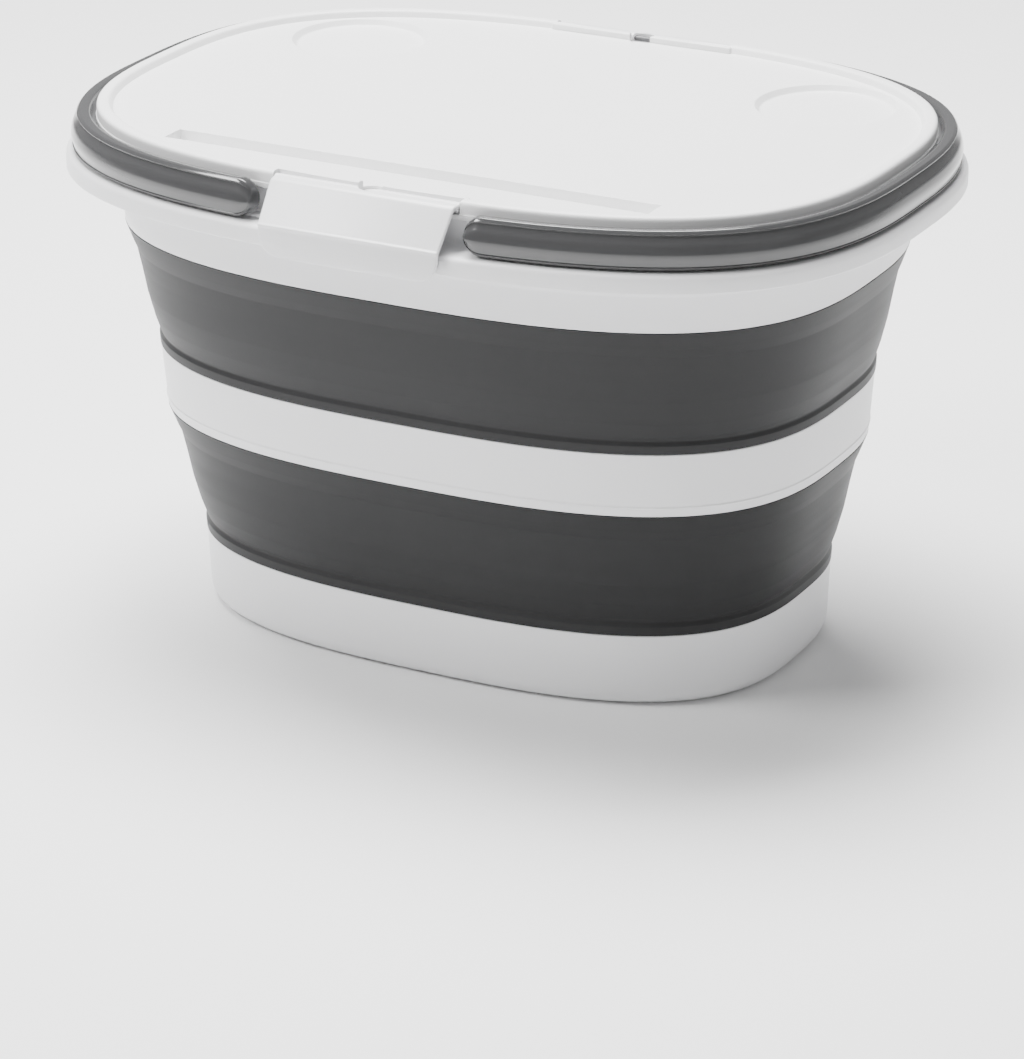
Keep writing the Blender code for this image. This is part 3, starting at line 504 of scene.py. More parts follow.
handle_low, handle_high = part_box("handle_right")
LEDGE_TOP = handle_low[2] - 1 * MM
LIP_HEIGHT = 9.4 * MM
LIP_WALL = 2.4 * MM
UPSTAND_IN = -6.5 * MM
UPSTAND_OUT = UPSTAND_IN + WALL
RIM_TOP_OFFSET = -3 * MM
RIM_WALL_OFFSET = -11 * MM
SHOULDER_TOP = LEDGE_TOP - 11 * MM
SHOULDER_LOW = SHOULDER_TOP - 8 * MM
SHOULDER_LIFT = 0.4 * WALL
ledge_under = LEDGE_TOP - WALL
lip_bottom = LEDGE_TOP - LIP_HEIGHT
rim_section = smooth_section(
    [
        (RIM_BOTTOM_OFFSET - WALL, rim_low[2], 0.7 * MM),
        (RIM_WALL_OFFSET - WALL, SHOULDER_LOW + SHOULDER_LIFT, 4 * MM),
        (UPSTAND_IN, SHOULDER_TOP + SHOULDER_LIFT, 3 * MM),
        (UPSTAND_IN, rim_high[2], 1 * MM),
        (UPSTAND_OUT, rim_high[2], 1 * MM),
        (UPSTAND_OUT, LEDGE_TOP, 2.4 * MM),
        (LIP_OFFSET, LEDGE_TOP, 3.6 * MM),
        (LIP_OFFSET, lip_bottom, 1 * MM),
        (LIP_OFFSET - LIP_WALL, lip_bottom, 1 * MM),
        (LIP_OFFSET - LIP_WALL, ledge_under, 1.4 * MM),
        (RIM_TOP_OFFSET, ledge_under, 3 * MM),
        (RIM_TOP_OFFSET, SHOULDER_TOP, 2 * MM),
        (RIM_WALL_OFFSET, SHOULDER_LOW, 4 * MM),
        (RIM_BOTTOM_OFFSET, rim_low[2], 0.7 * MM),
    ],
)
rim_work = oval_shell("rim_wall", rim_section, True, white_shell)
rim_shell = finish_mesh("rim_shell", rim_work, white_shell)
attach(rim_shell, "rim")
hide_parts("rim")


def oval_y(x, offset):
    """Half-width at x of the lid's oval moved out by offset."""
    share = abs(x) / (HALF_LENGTH + offset)
    return (HALF_WIDTH + offset) * (1 - share**OVAL_POWER) ** (1 / OVAL_POWER)


def boss_tree():
    """Puts a short round boss on each point, turned along Y."""
    sockets = (
        ("Points", "Geometry"),
        ("Radius", "Float"),
        ("Length", "Float"),
        ("Material", "Material"),
    )
    net, given = start_tree("pivot_bosses", sockets, "Bosses")
    body_sizes = {"Vertices": 40, "Radius": given["Radius"], "Depth": given["Length"]}
    body = net.node("GeometryNodeMeshCylinder", body_sizes)
    placed = net.node(
        "GeometryNodeInstanceOnPoints",
        {"Points": given["Points"], "Instance": body, "Rotation": (0.5 * math.pi, 0, 0)},
    )
    return end_tree(net, placed, given["Material"], "Bosses")


BOSS_RADIUS = 3.3 * MM
BOSS_SINK = 0.4 * MM
HANDLE_FROM_LID = 2.5 * MM
pin_low, pin_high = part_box("handle_pin_right_back")
pivot_x = 0.5 * (pin_low[0] + pin_high[0])
pivot_z = 0.5 * (pin_low[2] + pin_high[2])
boss_in = pin_low[1] + BOSS_SINK
boss_out = oval_y(pivot_x + BOSS_RADIUS, HANDLE_FROM_LID) - BOSS_SINK
boss_y = 0.5 * (boss_in + boss_out)
boss_places = [(sx * pivot_x, sy * boss_y, pivot_z) for sx in (-1, 1) for sy in (-1, 1)]
boss_points = bpy.data.meshes.new("boss_points")
boss_points.from_pydata(boss_places, [], [])
boss_sizes = {"Radius": BOSS_RADIUS, "Length": boss_out - boss_in, "Material": white_shell}
boss_mesh = run_tree("bosses", boss_points, boss_tree(), boss_sizes)
bosses = add_piece("handle_bosses", boss_mesh, white_shell)
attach(bosses, "rim")

pin_plastic = moulded_plastic(
    "grey_pin_plastic", (0.1, 0.1, 0.104), roughness=0.35, grain=1100.0, depth=0.08 * MM
)


def refinish(names, material):
    """Gives frame nodes whose shape is kept a finished material."""
    for name in names:
        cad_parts[name].material_slots[0].material = material


CORNERS = [side + "_" + end for side in ("left", "right") for end in ("front", "back")]
refinish(["handle_pin_" + corner for corner in CORNERS], pin_plastic)


# --- handles ---------------------------------------------------------------------------------
# Two bails of polished grey plastic lie on the ledge round the lid's ends. Each has a crowned
# outer face between two fine border steps, and round ends on its pivot pins.

gloss_grey = moulded_plastic(
    "gloss_grey_plastic",
    (0.05, 0.05, 0.0515),
    roughness=0.13,
    grain=220.0,
    depth=0.03 * MM,
    cloud=0.03,
    coat=0.5,
)
HANDLE_WIDTH = 9.5 * MM
HANDLE_BORDER = 1.5 * MM
HANDLE_ROWS = 140
HANDLE_END_ROWS = 9
HANDLE_END_THIN = 0.25
handle_half = 0.5 * (handle_high[2] - handle_low[2])
handle_centre = 0.5 * (handle_high[2] + handle_low[2])
handle_outer = HANDLE_FROM_LID + HANDLE_WIDTH
low_border = HANDLE_BORDER - handle_half
high_border = handle_half - HANDLE_BORDER
INNER_ROUND, BORDER_STEP, BORDER_GROOVE, CROWN = 2 * MM, 0.4 * MM, 0.25 * MM, 9 * MM
HANDLE_SECTION = smooth_section(
    [
        (HANDLE_FROM_LID, -handle_half, INNER_ROUND),
        (handle_outer - 1.6 * MM, -handle_half, 1 * MM),
        (handle_outer - 0.5 * MM, low_border, BORDER_STEP),
        (handle_outer - 1.1 * MM, low_border + 0.5 * MM, BORDER_GROOVE),
        (handle_outer, -0.25 * handle_half, CROWN),
        (handle_outer - 1 * MM, 0.3 * handle_half, CROWN),
        (handle_outer - 3.6 * MM, high_border - 0.6 * MM, BORDER_GROOVE),
        (handle_outer - 3 * MM, high_border, BORDER_STEP),
        (handle_outer - 4.3 * MM, handle_half, 0.9 * MM),
        (HANDLE_FROM_LID, handle_half, INNER_ROUND),
    ],
    steps=5,
)


def loft(work, rows):
    """Quads between neighbouring closed rows of points, with a face over each end."""
    rings = [[work.verts.new(point) for point in row] for row in rows]
    for one, two in zip(rings, rings[1:]):
        for index in range(len(one)):
            after = (index + 1) % len(one)
            work.faces.new((one[index], one[after], two[after], two[index]))
    work.faces.new(rings[0])
    work.faces.new(rings[-1])


def on_oval(angle, offset, height):
    """A point of the lid's superellipse moved out by offset."""
    power = 2 / OVAL_POWER
    along, across = math.cos(angle), math.sin(angle)
    x = (HALF_LENGTH + offset) * math.copysign(abs(along) ** power, along)
    y = (HALF_WIDTH + offset) * math.copysign(abs(across) ** power, across)
    return Vector((x, y, height))


def angle_at(x, offset):
    """The superellipse's angle where its outline moved out by offset crosses x."""
    return math.acos((x / (HALF_LENGTH + offset)) ** (OVAL_POWER / 2))


def handle_rows(sign_x):
    """Sections round one end of the oval, which shrink to a half round past each pivot."""
    middle = HANDLE_FROM_LID + 0.5 * HANDLE_WIDTH
    quarters = [0.5 * math.pi * n / HANDLE_END_ROWS for n in range(HANDLE_END_ROWS)]
    stops = [pivot_x - handle_half * math.sin(quarter) for quarter in quarters]
    angles = [angle_at(x, middle) for x in reversed(stops)]
    straight = angles[-1]
    angles += [straight * (1 - 2 * n / HANDLE_ROWS) for n in range(1, HANDLE_ROWS)]
    angles += [-angle for angle in reversed(angles[:HANDLE_END_ROWS])]
    rows = []
    for angle in angles:
        past = max(0, pivot_x - on_oval(angle, middle, 0).x) / handle_half
        shrink = math.sqrt(max(0, 1 - past**2))
        thin = 1 - HANDLE_END_THIN * (1 - shrink)
        row = []
        for offset, z in HANDLE_SECTION:
            offset = middle + (offset - middle) * thin
            point = on_oval(angle, offset, handle_centre + z * shrink)
            row.append((sign_x * point.x, point.y, point.z))
        rows.append(row)
    return rows


SIDES = (("left", -1), ("right", 1))
for side, sign_x in SIDES:
    handle_work = bmesh.new()
    loft(handle_work, handle_rows(sign_x))
    handle = finish_mesh("handle_bail_" + side, handle_work, gloss_grey)
    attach(handle, "handle_" + side)
    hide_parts("handle_" + side)


# --- lid -------------------------------------------------------------------------------------
# A white polypropylene moulding that drops over the upstand. A rounded bead runs round a sunk,
# finely textured panel with two cup recesses and a tablet groove, and its edge is notched for
# the two latches.

lid_white = moulded_plastic(
    "textured_white_polypropylene",
    (0.87, 0.87, 0.87),
    roughness=0.42,
    grain=1300.0,
    depth=0.22 * MM,
    cloud=0.01,
)
LID_TOP = lid_high[2]
LID_EDGE = rim_high[2] + 0.3 * MM
PANEL_TOP = LID_TOP - 3.5 * MM
PANEL_BOTTOM = PANEL_TOP - 2.5 * MM
SKIRT_OUT = -7.2 * MM
SKIRT_IN = SKIRT_OUT - 2.3 * MM
BEAD_INNER = -7 * MM
CUP_RADIUS = 37 * MM
CUP_DEPTH = 3 * MM
CUP_FROM_END, CUP_FROM_SIDE = 37 * MM, 33 * MM
CUP_X = HALF_LENGTH - CUP_FROM_END - CUP_RADIUS
CUP_Y = HALF_WIDTH - CUP_FROM_SIDE - CUP_RADIUS
CUP_SEGMENTS = 96
RECESS_FLOOR = 1.6 * MM
SLOT_FROM_END, SLOT_FROM_SIDE = 76 * MM, 49 * MM
SLOT_HALF = HALF_LENGTH - SLOT_FROM_END
SLOT_BACK = SLOT_FROM_SIDE - HALF_WIDTH
SLOT_WIDTH = 14 * MM
SLOT_DEPTH = 6 * MM
EDGE_LINE_IN = -0.4 * MM
SAME_LEVEL = 0.01 * MM

lid_section = smooth_section(
    [
        (BEAD_INNER - 1.3 * MM, PANEL_TOP, 0),
        (BEAD_INNER - 0.9 * MM, PANEL_TOP, 0.4 * MM),
        (BEAD_INNER + 0.6 * MM, LID_TOP, 2.2 * MM),
        (EDGE_LINE_IN, LID_TOP, 2.6 * MM),
        (EDGE_LINE_IN, LID_EDGE + 3 * MM, 0.3 * MM),
        (0, LID_EDGE + 2.5 * MM, 0.3 * MM),
        (0, LID_EDGE, 0.8 * MM),
        (SKIRT_OUT, LID_EDGE, 0.5 * MM),
        (SKIRT_OUT, lid_low[2], 0.7 * MM),
        (SKIRT_IN, lid_low[2], 0.7 * MM),
        (SKIRT_IN, PANEL_BOTTOM, 0),
    ],
    closed=False,
)
lid_work = oval_shell("lid_edge", lid_section, False, lid_white)


def turned_recess(work, centre, profile):
    """A round recess below a face: its (radius, height) profile turned. Returns its top edges."""
    above, top_edges = None, []
    for radius, height in profile:
        ring = []
        for n in range(CUP_SEGMENTS):
            turn = 2 * math.pi * n / CUP_SEGMENTS
            x = centre[0] + radius * math.cos(turn)
            y = centre[1] + radius * math.sin(turn)
            ring.append(work.verts.new((x, y, height)))
        for n in range(CUP_SEGMENTS):
            after = (n + 1) % CUP_SEGMENTS
            if above:
                work.faces.new((above[n], above[after], ring[after], ring[n]))
            else:
                top_edges.append(work.edges.new((ring[n], ring[after])))
        above = ring
    work.faces.new(above)
    return top_edges


def long_recess(work, half, profile):
    """A straight groove: its (y, height) profile run along X. Returns its top edges."""
    ends = [[work.verts.new((x, y, z)) for y, z in profile] for x in (-half, half)]
    for n in range(len(profile) - 1):
        work.faces.new((ends[0][n], ends[0][n + 1], ends[1][n + 1], ends[1][n]))
    for end in ends:
        work.faces.new(end)
    corners = ((ends[0][0], ends[0][-1]), (ends[1][0], ends[1][-1]))
    rails = ((ends[0][0], ends[1][0]), (ends[0][-1], ends[1][-1]))
    return [work.edges.get(pair) or work.edges.new(pair) for pair in corners + rails]


def close_panel(work, level, grow):
    """Fills the ring at this level, round two cup recesses and the groove, grown by a wall.

    The fill is made a thousand times up, because it drops points that are very near.
    """
    ring = [e for e in work.edges if e.is_boundary and abs(e.verts[0].co.z - level) < SAME_LEVEL]
    floor = PANEL_TOP - CUP_DEPTH - grow
    radius = CUP_RADIUS - 0.5 * MM - 0.8 * grow
    cup = [
        (radius, level, 0),
        (radius - 0.7 * MM, level, 0.8 * MM),
        (radius - CUP_DEPTH + grow, floor, 1.8 * MM),
        (0.5 * radius, floor, 0),
    ]
    bottom = PANEL_TOP - SLOT_DEPTH - grow
    back = SLOT_BACK + grow
    front = back - SLOT_WIDTH - 2 * grow
    groove = [
        (front - 2 * MM, level, 0),
        (front, level, 3 * MM),
        (back - 6.5 * MM - grow, bottom, 1.5 * MM),
        (back, bottom, 1 * MM),
        (back, level, 0.7 * MM),
        (back + 1.2 * MM, level, 0),
    ]
    edges = ring + long_recess(work, SLOT_HALF + grow, smooth_section(groove, closed=False))
    for sign in (-1, 1):
        profile = smooth_section(cup, closed=False)
        edges += turned_recess(work, (sign * CUP_X, CUP_Y), profile)
    bmesh.ops.scale(work, verts=work.verts, vec=(1 / MM,) * 3)
    bmesh.ops.triangle_fill(work, edges=edges, use_beauty=True, normal=(0, 0, 1))
    bmesh.ops.scale(work, verts=work.verts, vec=(MM,) * 3)

close_panel(lid_work, PANEL_TOP, 0)
close_panel(lid_work, PANEL_BOTTOM, RECESS_FLOOR)
lid_shell = finish_mesh("lid_shell", lid_work, lid_white)

LATCH_HALF = 50 * MM
LATCH_BARREL = 2.6 * MM
NOTCH_RADIUS = 6.5 * MM
NOTCH_CUT = 10 * MM
ENDS = (("front", -1), ("back", 1))
latch_axis = {}
for side in ("front", "back"):
    low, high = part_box("latch_pin_" + side)
    latch_axis[side] = Vector((0, 0.5 * (low[1] + high[1]), 0.5 * (low[2] + high[2])))


def rounded_block(low, high, radius):
    """A box between two corners with rounded edges, as a mesh."""
    low, high = Vector(low), Vector(high)
    work = bmesh.new()
    matrix = Matrix.Translation((low + high) / 2) @ Matrix.Diagonal((*(high - low), 1))
    bmesh.ops.create_cube(work, size=1, matrix=matrix)
    rounding = {"offset": radius, "segments": 3, "profile": 0.5, "clamp_overlap": True}
    bmesh.ops.bevel(work, geom=work.edges, affect="EDGES", **rounding)
    return plain_mesh("block", work)


def round_bar(centre, radius, length, lying=False):
    """A cylinder as a mesh. It stands, or lies along X."""
    work = bmesh.new()
    matrix = Matrix.Translation(centre)
    if lying:
        matrix = matrix @ Matrix.Rotation(0.5 * math.pi, 4, "Y")
    size = {"segments": 48, "radius1": radius, "radius2": radius, "depth": length}
    bmesh.ops.create_cone(work, cap_ends=True, matrix=matrix, **size)
    return plain_mesh("round", work)


def combine(piece, operation, meshes):
    """Cuts or joins helper meshes with exact Booleans and returns the piece with them applied."""
    helpers = []
    for mesh in meshes:
        helper = bpy.data.objects.new("helper", mesh)
        bpy.context.scene.collection.objects.link(helper)
        boolean = piece.modifiers.new("cut", "BOOLEAN")
        boolean.operation = operation
        boolean.solver = "EXACT"
        boolean.object = helper
        helpers.append(helper)
    name, material = piece.name, piece.data.materials[0]
    mesh = evaluated_mesh(piece)
    for helper in helpers:
        bpy.data.objects.remove(helper)
    return add_piece(name, mesh, material)


NOTCH_Y = abs(latch_axis["front"].y) - LATCH_BARREL - 1.2 * MM
SEAT_HALF = LATCH_HALF + 0.6 * MM
SEAT_GAP, SEAT_UNDER, SEAT_ROUND = 0.6 * MM, 0.3 * MM, 0.8 * MM
SEAT_PAST_SIDE, SEAT_PAST_TOP = 5 * MM, 4 * MM
RIDGE_HALF = SEAT_HALF + 1.5 * MM
RIDGE_IN, RIDGE_OUT, RIDGE_ROUND = 3.3 * MM, 0.1 * MM, 0.9 * MM
RIDGE_FOOT, RIDGE_TOP = PANEL_TOP - 1 * MM, LID_TOP - 0.3 * MM
seats, ridges, notches = [], [], []
for side, sign_y in ENDS:
    axis = latch_axis[side]
    wall = abs(axis.y) - LATCH_BARREL - SEAT_GAP
    floor = axis.z - LATCH_BARREL - SEAT_UNDER
    near, far = sorted((sign_y * wall, sign_y * (HALF_WIDTH + SEAT_PAST_SIDE)))
    seat_top = (SEAT_HALF, far, LID_TOP + SEAT_PAST_TOP)
    seats.append(rounded_block((-SEAT_HALF, near, floor), seat_top, SEAT_ROUND))
    near, far = sorted((sign_y * (wall - RIDGE_IN), sign_y * (wall - RIDGE_OUT)))
    ridge_low, ridge_high = (-RIDGE_HALF, near, RIDGE_FOOT), (RIDGE_HALF, far, RIDGE_TOP)
    ridges.append(rounded_block(ridge_low, ridge_high, RIDGE_ROUND))
    notch = (0, sign_y * NOTCH_Y, PANEL_BOTTOM + 6 * MM)
    notches.append(round_bar(notch, NOTCH_RADIUS, NOTCH_CUT))
lid_shell = combine(lid_shell, "DIFFERENCE", seats)
lid_shell = combine(lid_shell, "UNION", ridges)
lid_shell = combine(lid_shell, "DIFFERENCE", notches)

PAD_SINK, PAD_GAP, PAD_ROUND = 0.8 * MM, 0.3 * MM, 0.3 * MM
PLUG_IN, PLUG_HEIGHT, UNDER_CUP = 2 * MM, 10 * MM, 0.6 * MM
plug_z = PANEL_TOP - CUP_DEPTH - UNDER_CUP + 0.5 * PLUG_HEIGHT
pads = []
for corner in CORNERS:
    low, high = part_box("leg_bracket_" + corner)
    top_corner = (high[0], high[1], PANEL_BOTTOM + PAD_SINK)
    block = rounded_block((low[0], low[1], high[2] + PAD_GAP), top_corner, PAD_ROUND)
    pad = add_piece("bracket_seat", block, lid_white)
    plugs = [
        round_bar((sign * CUP_X, CUP_Y, plug_z), CUP_RADIUS - PLUG_IN, PLUG_HEIGHT)
        for sign in (-1, 1)
    ]
    pad = combine(pad, "DIFFERENCE", plugs)
    pads.append(pad.data)
    bpy.data.objects.remove(pad)
lid_shell = combine(lid_shell, "UNION", pads)
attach(lid_shell, "lid")
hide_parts("lid")


# --- latches ---------------------------------------------------------------------------------
# A milky polypropylene flap is hinged in the lid's edge at the front and one at the back. It
# slopes over the ledge, folds at a raised line and hangs down outside the lip.

latch_milky = moulded_plastic(
    "milky_polypropylene",
    (0.82, 0.82, 0.83),
    roughness=0.3,
    grain=1000.0,
    depth=0.1 * MM,
    cloud=0.02,
    scatter=0.25,
)
LATCH_PLATE = 2.2 * MM
LATCH_CORNER = 11 * MM
LATCH_TAPER = 2 * MM
LATCH_ROUND = 0.9 * MM
FOLD_RISE = 0.7 * MM
FOLD_WIDTH = 1.1 * MM
EDGE_THICKNESS = 0.35
ARC_STEPS = 6
lip_face = HALF_WIDTH + LIP_OFFSET + LATCH_PLATE + 0.6 * MM
latch_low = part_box("latch_front")[0][2]
latch_top = latch_axis["front"].z + LATCH_BARREL - 0.3 * MM
latch_root = abs(latch_axis["front"].y)
fold_z = LEDGE_TOP + 2.5 * MM
LATCH_LINE = smooth_section(
    [
        (latch_root, latch_top, 0),
        (latch_root + 6 * MM, latch_top - 0.4 * MM, 5 * MM),
        (lip_face, fold_z, 4 * MM),
        (lip_face + 1 * MM, latch_low, 0),
    ],
    closed=False,
    steps=12,
    spacing=0.6 * MM,
)


def latch_rows(sign_y):
    """Sections down the flap, as wide as its rounded outline and thinned at its lower edge."""
    lengths = [0.0]
    for one, two in zip(LATCH_LINE, LATCH_LINE[1:]):
        lengths.append(lengths[-1] + (two - one).length)
    whole = lengths[-1]
    fold = min(range(len(LATCH_LINE)), key=lambda n: abs(LATCH_LINE[n].y - fold_z))
    rows = []
    for n, point in enumerate(LATCH_LINE):
        run = LATCH_LINE[min(n + 1, len(LATCH_LINE) - 1)] - LATCH_LINE[max(n - 1, 0)]
        out = Vector((-run.y, run.x)).normalized()
        left = whole - lengths[n]
        curl = min(1, left / LATCH_CORNER)
        half = LATCH_HALF - LATCH_TAPER * lengths[n] / whole
        half -= LATCH_CORNER * (1 - math.sqrt(max(0, 1 - (1 - curl) ** 2)))
        edge = min(1, left / LATCH_ROUND + 0.15)
        body = math.sqrt(1 - (1 - edge) ** 2)
        thick = LATCH_PLATE * (EDGE_THICKNESS + (1 - EDGE_THICKNESS) * body)
        from_fold = (lengths[n] - lengths[fold]) / FOLD_WIDTH
        ridge = FOLD_RISE * math.exp(-2 * from_fold**2)
        row = []
        for step in range(ARC_STEPS + 1):
            turn = math.pi * (step / ARC_STEPS - 0.5)
            x = half - 0.5 * thick * (1 - math.cos(turn))
            row.append((x, 0.5 * thick * math.sin(turn)))
        row += [(-x, depth) for x, depth in reversed(row)]
        line = []
        for x, depth in row:
            lift = ridge if depth > 0 else 0
            place = point + out * (depth - 0.5 * LATCH_PLATE + lift)
            line.append((x, sign_y * place.x, place.y))
        rows.append(line)
    return rows


BARREL_LENGTH = 2 * LATCH_HALF - 0.4 * MM
for side, sign_y in ENDS:
    axis = latch_axis[side]
    latch_work = bmesh.new()
    loft(latch_work, latch_rows(sign_y))
    latch = finish_mesh("latch_flap_" + side, latch_work, latch_milky)
    latch = combine(latch, "UNION", [round_bar(axis, LATCH_BARREL, BARREL_LENGTH, lying=True)])
    notch = (0, sign_y * NOTCH_Y, axis.z + 3.5 * MM)
    latch = combine(latch, "DIFFERENCE", [round_bar(notch, NOTCH_RADIUS, NOTCH_CUT)])
    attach(latch, "latch_" + side)
    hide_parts("latch_" + side)
refinish(["latch_pin_front", "latch_pin_back"], pin_plastic)


# --- leg brackets and pins -------------------------------------------------------------------
# White clips are fixed under the lid, and a grey pin through each one's ears carries a leg.

refinish(["leg_bracket_" + corner for corner in CORNERS], white_shell)
refinish(["leg_pin_" + corner for corner in CORNERS], pin_plastic)


# --- leg frames ------------------------------------------------------------------------------
# Each leg is one dark grey moulding: two uprights with stepped feet and a crossbar whose middle
# is raised. Its faces are sunk between raised ribs, so that the edges catch the light.

leg_grey = moulded_plastic(
    "leg_grey_plastic",
    (0.022, 0.022, 0.023),
    roughness=0.36,
    grain=1200.0,
    depth=0.1 * MM,
    cloud=0.05,
    shine=0.3,
)
pad_rubber = rubber("pad_rubber", (0.015, 0.015, 0.015), roughness=0.75)
LEG_RIB = 2.2 * MM
LEG_EDGE = 0.6 * MM
leg_pin_low, leg_pin_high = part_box("leg_pin_right_back")
leg_low, leg_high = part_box("leg_frame_right")
LEG_PIVOT_X = 0.5 * (leg_pin_low[0] + leg_pin_high[0])
LEG_PIVOT_Z = 0.5 * (leg_low[2] + leg_high[2])
LEG_DEPTH = leg_high[2] - leg_low[2]
LEG_SPAN = leg_high[1]
LEG_FOOT = LEG_PIVOT_X - leg_low[0]
LEG_LENGTH = LEG_FOOT + 1.8 * MM
UPRIGHT = 14 * MM
FOOT_STEP = 12 * MM
TOE_REACH, HEEL_REACH = 36 * MM, 10 * MM
BAR_FROM_FOOT, BAR_WIDTH = 47 * MM, 13.5 * MM
BAR_BEND, BAR_BEND_ROUND = 12 * MM, 6 * MM
BAR_RISE_OUT, BAR_RISE_IN = 29.5 * MM, 26 * MM
BAR_SET, BAR_RISE, RISE_ROUND = 0.4 * MM, 3.5 * MM, 1.5 * MM
RIB_TOP = 15 * MM
MITRE = 0.41
SAME_POINT = 0.001 * MM


def leg_half(rib):
    """Half of the frame as (across, down, radius) corners, each edge moved in by rib."""
    inner = LEG_SPAN - UPRIGHT
    toe, heel = LEG_SPAN - TOE_REACH, inner - HEEL_REACH
    bar_top = LEG_LENGTH - BAR_FROM_FOOT
    bar_low = bar_top + BAR_WIDTH
    mitre = MITRE * rib
    top = RIB_TOP if rib else 0
    step = LEG_FOOT - FOOT_STEP
    return [
        (toe - BAR_BEND + mitre, bar_low - rib, BAR_BEND_ROUND),
        (toe + rib, bar_low + BAR_BEND - mitre, BAR_BEND_ROUND),
        (toe + rib, LEG_FOOT - rib, 7 * MM - rib),
        (LEG_SPAN - rib, LEG_FOOT - rib, 9 * MM - rib),
        (LEG_SPAN - rib, top, 0.8 * MM),
        (inner + rib, top, 0.8 * MM),
        (inner + rib, step + rib, 3 * MM + rib),
        (heel - rib, step + rib, 3 * MM + rib),
        (heel - rib, bar_top + BAR_BEND + mitre, BAR_BEND_ROUND),
        (heel - BAR_BEND - mitre, bar_top + rib, BAR_BEND_ROUND),
        (BAR_RISE_OUT - mitre, bar_top - BAR_SET + rib, RISE_ROUND),
        (BAR_RISE_IN - mitre, bar_top - BAR_RISE + rib, RISE_ROUND),
    ]


def leg_plate(rib, low, high, edge):
    """The frame's outline as a plate between two levels, with rounded edges, as a mesh.

    It is drawn a thousand times up, because filling drops points that are very near.
    """
    half = leg_half(rib)
    outline = smooth_section(half + [(-x, down, r) for x, down, r in reversed(half)], steps=5)
    curve = bpy.data.curves.new("leg_outline", "CURVE")
    curve.dimensions = "2D"
    curve.fill_mode = "BOTH"
    curve.extrude = (0.5 * (high - low) - edge) / MM
    curve.bevel_depth = edge / MM
    curve.bevel_resolution = 2
    curve.offset = -edge / MM
    spline = curve.splines.new("POLY")
    spline.points.add(len(outline) - 1)
    for point, (x, down) in zip(spline.points, outline):
        point.co = (x / MM, down / MM, 0, 1)
    spline.use_cyclic_u = True
    flat = bpy.data.objects.new("leg_outline", curve)
    bpy.context.scene.collection.objects.link(flat)
    mesh = evaluated_mesh(flat)
    mesh.transform(Matrix.Translation((0, 0, 0.5 * (low + high))) @ Matrix.Scale(MM, 4))
    work = bmesh.new()
    work.from_mesh(mesh)
    bmesh.ops.remove_doubles(work, verts=work.verts, dist=SAME_POINT)
    bmesh.ops.recalc_face_normals(work, faces=work.faces)
    return plain_mesh("leg_plate", work)


LEG_HOLE = 2.3 * MM
RIB_DEPTH, RIB_FOOT_ROUND = 4.5 * MM, 0.4 * MM
BAR_SLOT_LOW = (-15 * MM, LEG_LENGTH - 53.5 * MM, -1.2 * MM)
BAR_SLOT_HIGH = (15 * MM, LEG_LENGTH - 46.5 * MM, 1.2 * MM)
knuckle_length = UPRIGHT - 2 * LEG_EDGE
pivots = [(sign * (LEG_SPAN - 0.5 * UPRIGHT), 0, 0) for sign in (-1, 1)]
deep = 0.5 * LEG_DEPTH
knuckle_radius = deep - 0.02 * MM
for side, sign_x in SIDES:
    leg = add_piece("leg_" + side + "_moulding", leg_plate(0, -deep, deep, LEG_EDGE), leg_grey)
    knuckles = [round_bar(at, knuckle_radius, knuckle_length, lying=True) for at in pivots]
    leg = combine(leg, "UNION", knuckles)
    cuts = [round_bar(at, LEG_HOLE, 2 * UPRIGHT, lying=True) for at in pivots]
    for face in (deep, -deep):
        cuts.append(leg_plate(LEG_RIB, face - RIB_DEPTH, face + RIB_DEPTH, RIB_FOOT_ROUND))
    cuts.append(rounded_block(BAR_SLOT_LOW, BAR_SLOT_HIGH, 0.4 * MM))
    leg = combine(leg, "DIFFERENCE", cuts)
    row_x = (0, -sign_x, 0, sign_x * LEG_PIVOT_X)
    lay = Matrix((row_x, (1, 0, 0, 0), (0, 0, 1, LEG_PIVOT_Z), (0, 0, 0, 1)))
    leg.data.transform(lay)
    if sign_x > 0:
        leg.data.flip_normals()
    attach(leg, "leg_" + side)
    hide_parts("leg_frame_" + side)
refinish(["leg_foot_" + corner for corner in CORNERS], pad_rubber)


# --- floor, lights and camera ----------------------------------------------------------------
# A plain pale floor under soft studio light: a large overhead panel, a softbox to the left of
# the camera that draws the streak on the handles, and a weak fill.

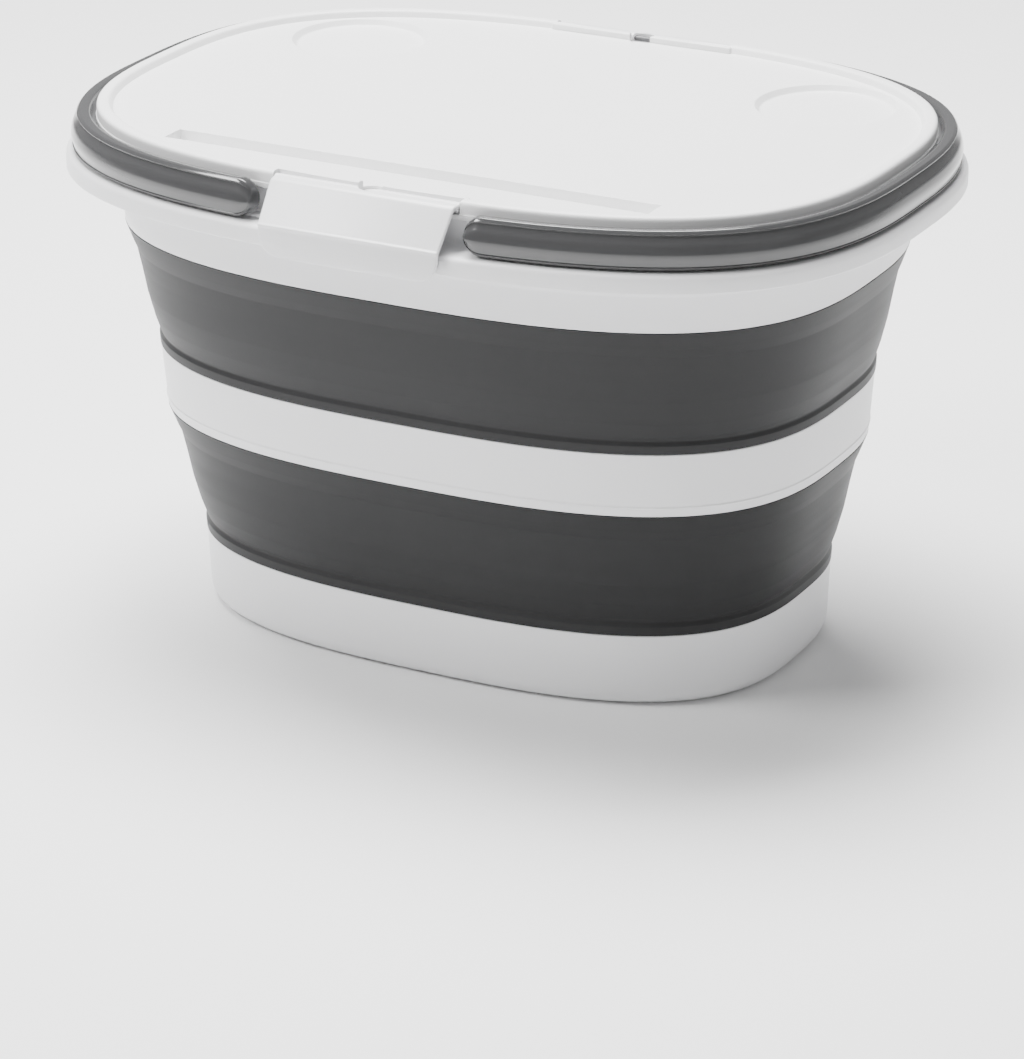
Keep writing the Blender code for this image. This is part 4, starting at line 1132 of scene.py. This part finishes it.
FLOOR_HALF = 12
floor_work = bmesh.new()
bmesh.ops.create_grid(floor_work, x_segments=1, y_segments=1, size=FLOOR_HALF)
floor_finish = moulded_plastic(
    "pale_floor", (0.93, 0.93, 0.93), roughness=0.6, grain=40.0, depth=0.1 * MM, cloud=0.002
)
floor = add_piece("floor", plain_mesh("floor", floor_work), floor_finish)

world = bpy.data.worlds.new("studio")
bpy.context.scene.world = world
world.use_nodes = True
surround = world.node_tree.nodes["Background"].inputs
surround["Color"].default_value = (1, 1, 1, 1)
surround["Strength"].default_value = 0.4
target = Vector((0, 0, 0.15))


def softbox(name, place, width, height, power):
    """A rectangular area light that faces the tub."""
    light = bpy.data.lights.new(name, "AREA")
    light.shape = "RECTANGLE"
    light.size, light.size_y, light.energy = width, height, power
    lamp = bpy.data.objects.new(name, light)
    lamp.location = place
    lamp.rotation_euler = (Vector(place) - target).to_track_quat("Z", "Y").to_euler()
    bpy.context.scene.collection.objects.link(lamp)


softbox("overhead_panel", (-0.5, 0.4, 2.4), width=1.8, height=1.4, power=225)
softbox("key_softbox", (-1.3, -1.2, 1.75), width=0.9, height=0.5, power=38)
softbox("right_fill", (2.2, -0.6, 1.0), width=1.2, height=1.2, power=0.8)

YAW, PITCH, ROLL = math.radians(28.17), math.radians(20.15), math.radians(-0.33)
DISTANCE = 2.2155
ASIDE, ABOVE = 0.0009, 0.1289
DIP = math.radians(2.134)
LENS, SENSOR_WIDTH = 151.1, 36
level = Vector((math.cos(YAW), math.sin(YAW), 0))
away = Vector((math.sin(YAW), -math.cos(YAW), 0))
back = away * math.cos(PITCH) + Vector((0, 0, math.sin(PITCH)))
upward = back.cross(level)
right = level * math.cos(ROLL) + upward * math.sin(ROLL)
top = upward * math.cos(ROLL) - level * math.sin(ROLL)
eye = Vector((0, 0, LID_TOP)) + back * DISTANCE - right * ASIDE - top * ABOVE
aim = back * math.cos(DIP) + top * math.sin(DIP)
top = top * math.cos(DIP) - back * math.sin(DIP)
camera_data = bpy.data.cameras.new("camera")
camera_data.lens = LENS
camera_data.sensor_width = SENSOR_WIDTH
camera = bpy.data.objects.new("camera", camera_data)
camera.matrix_world = Matrix.Translation(eye) @ Matrix((right, top, aim)).transposed().to_4x4()
bpy.context.scene.collection.objects.link(camera)
bpy.context.scene.camera = camera
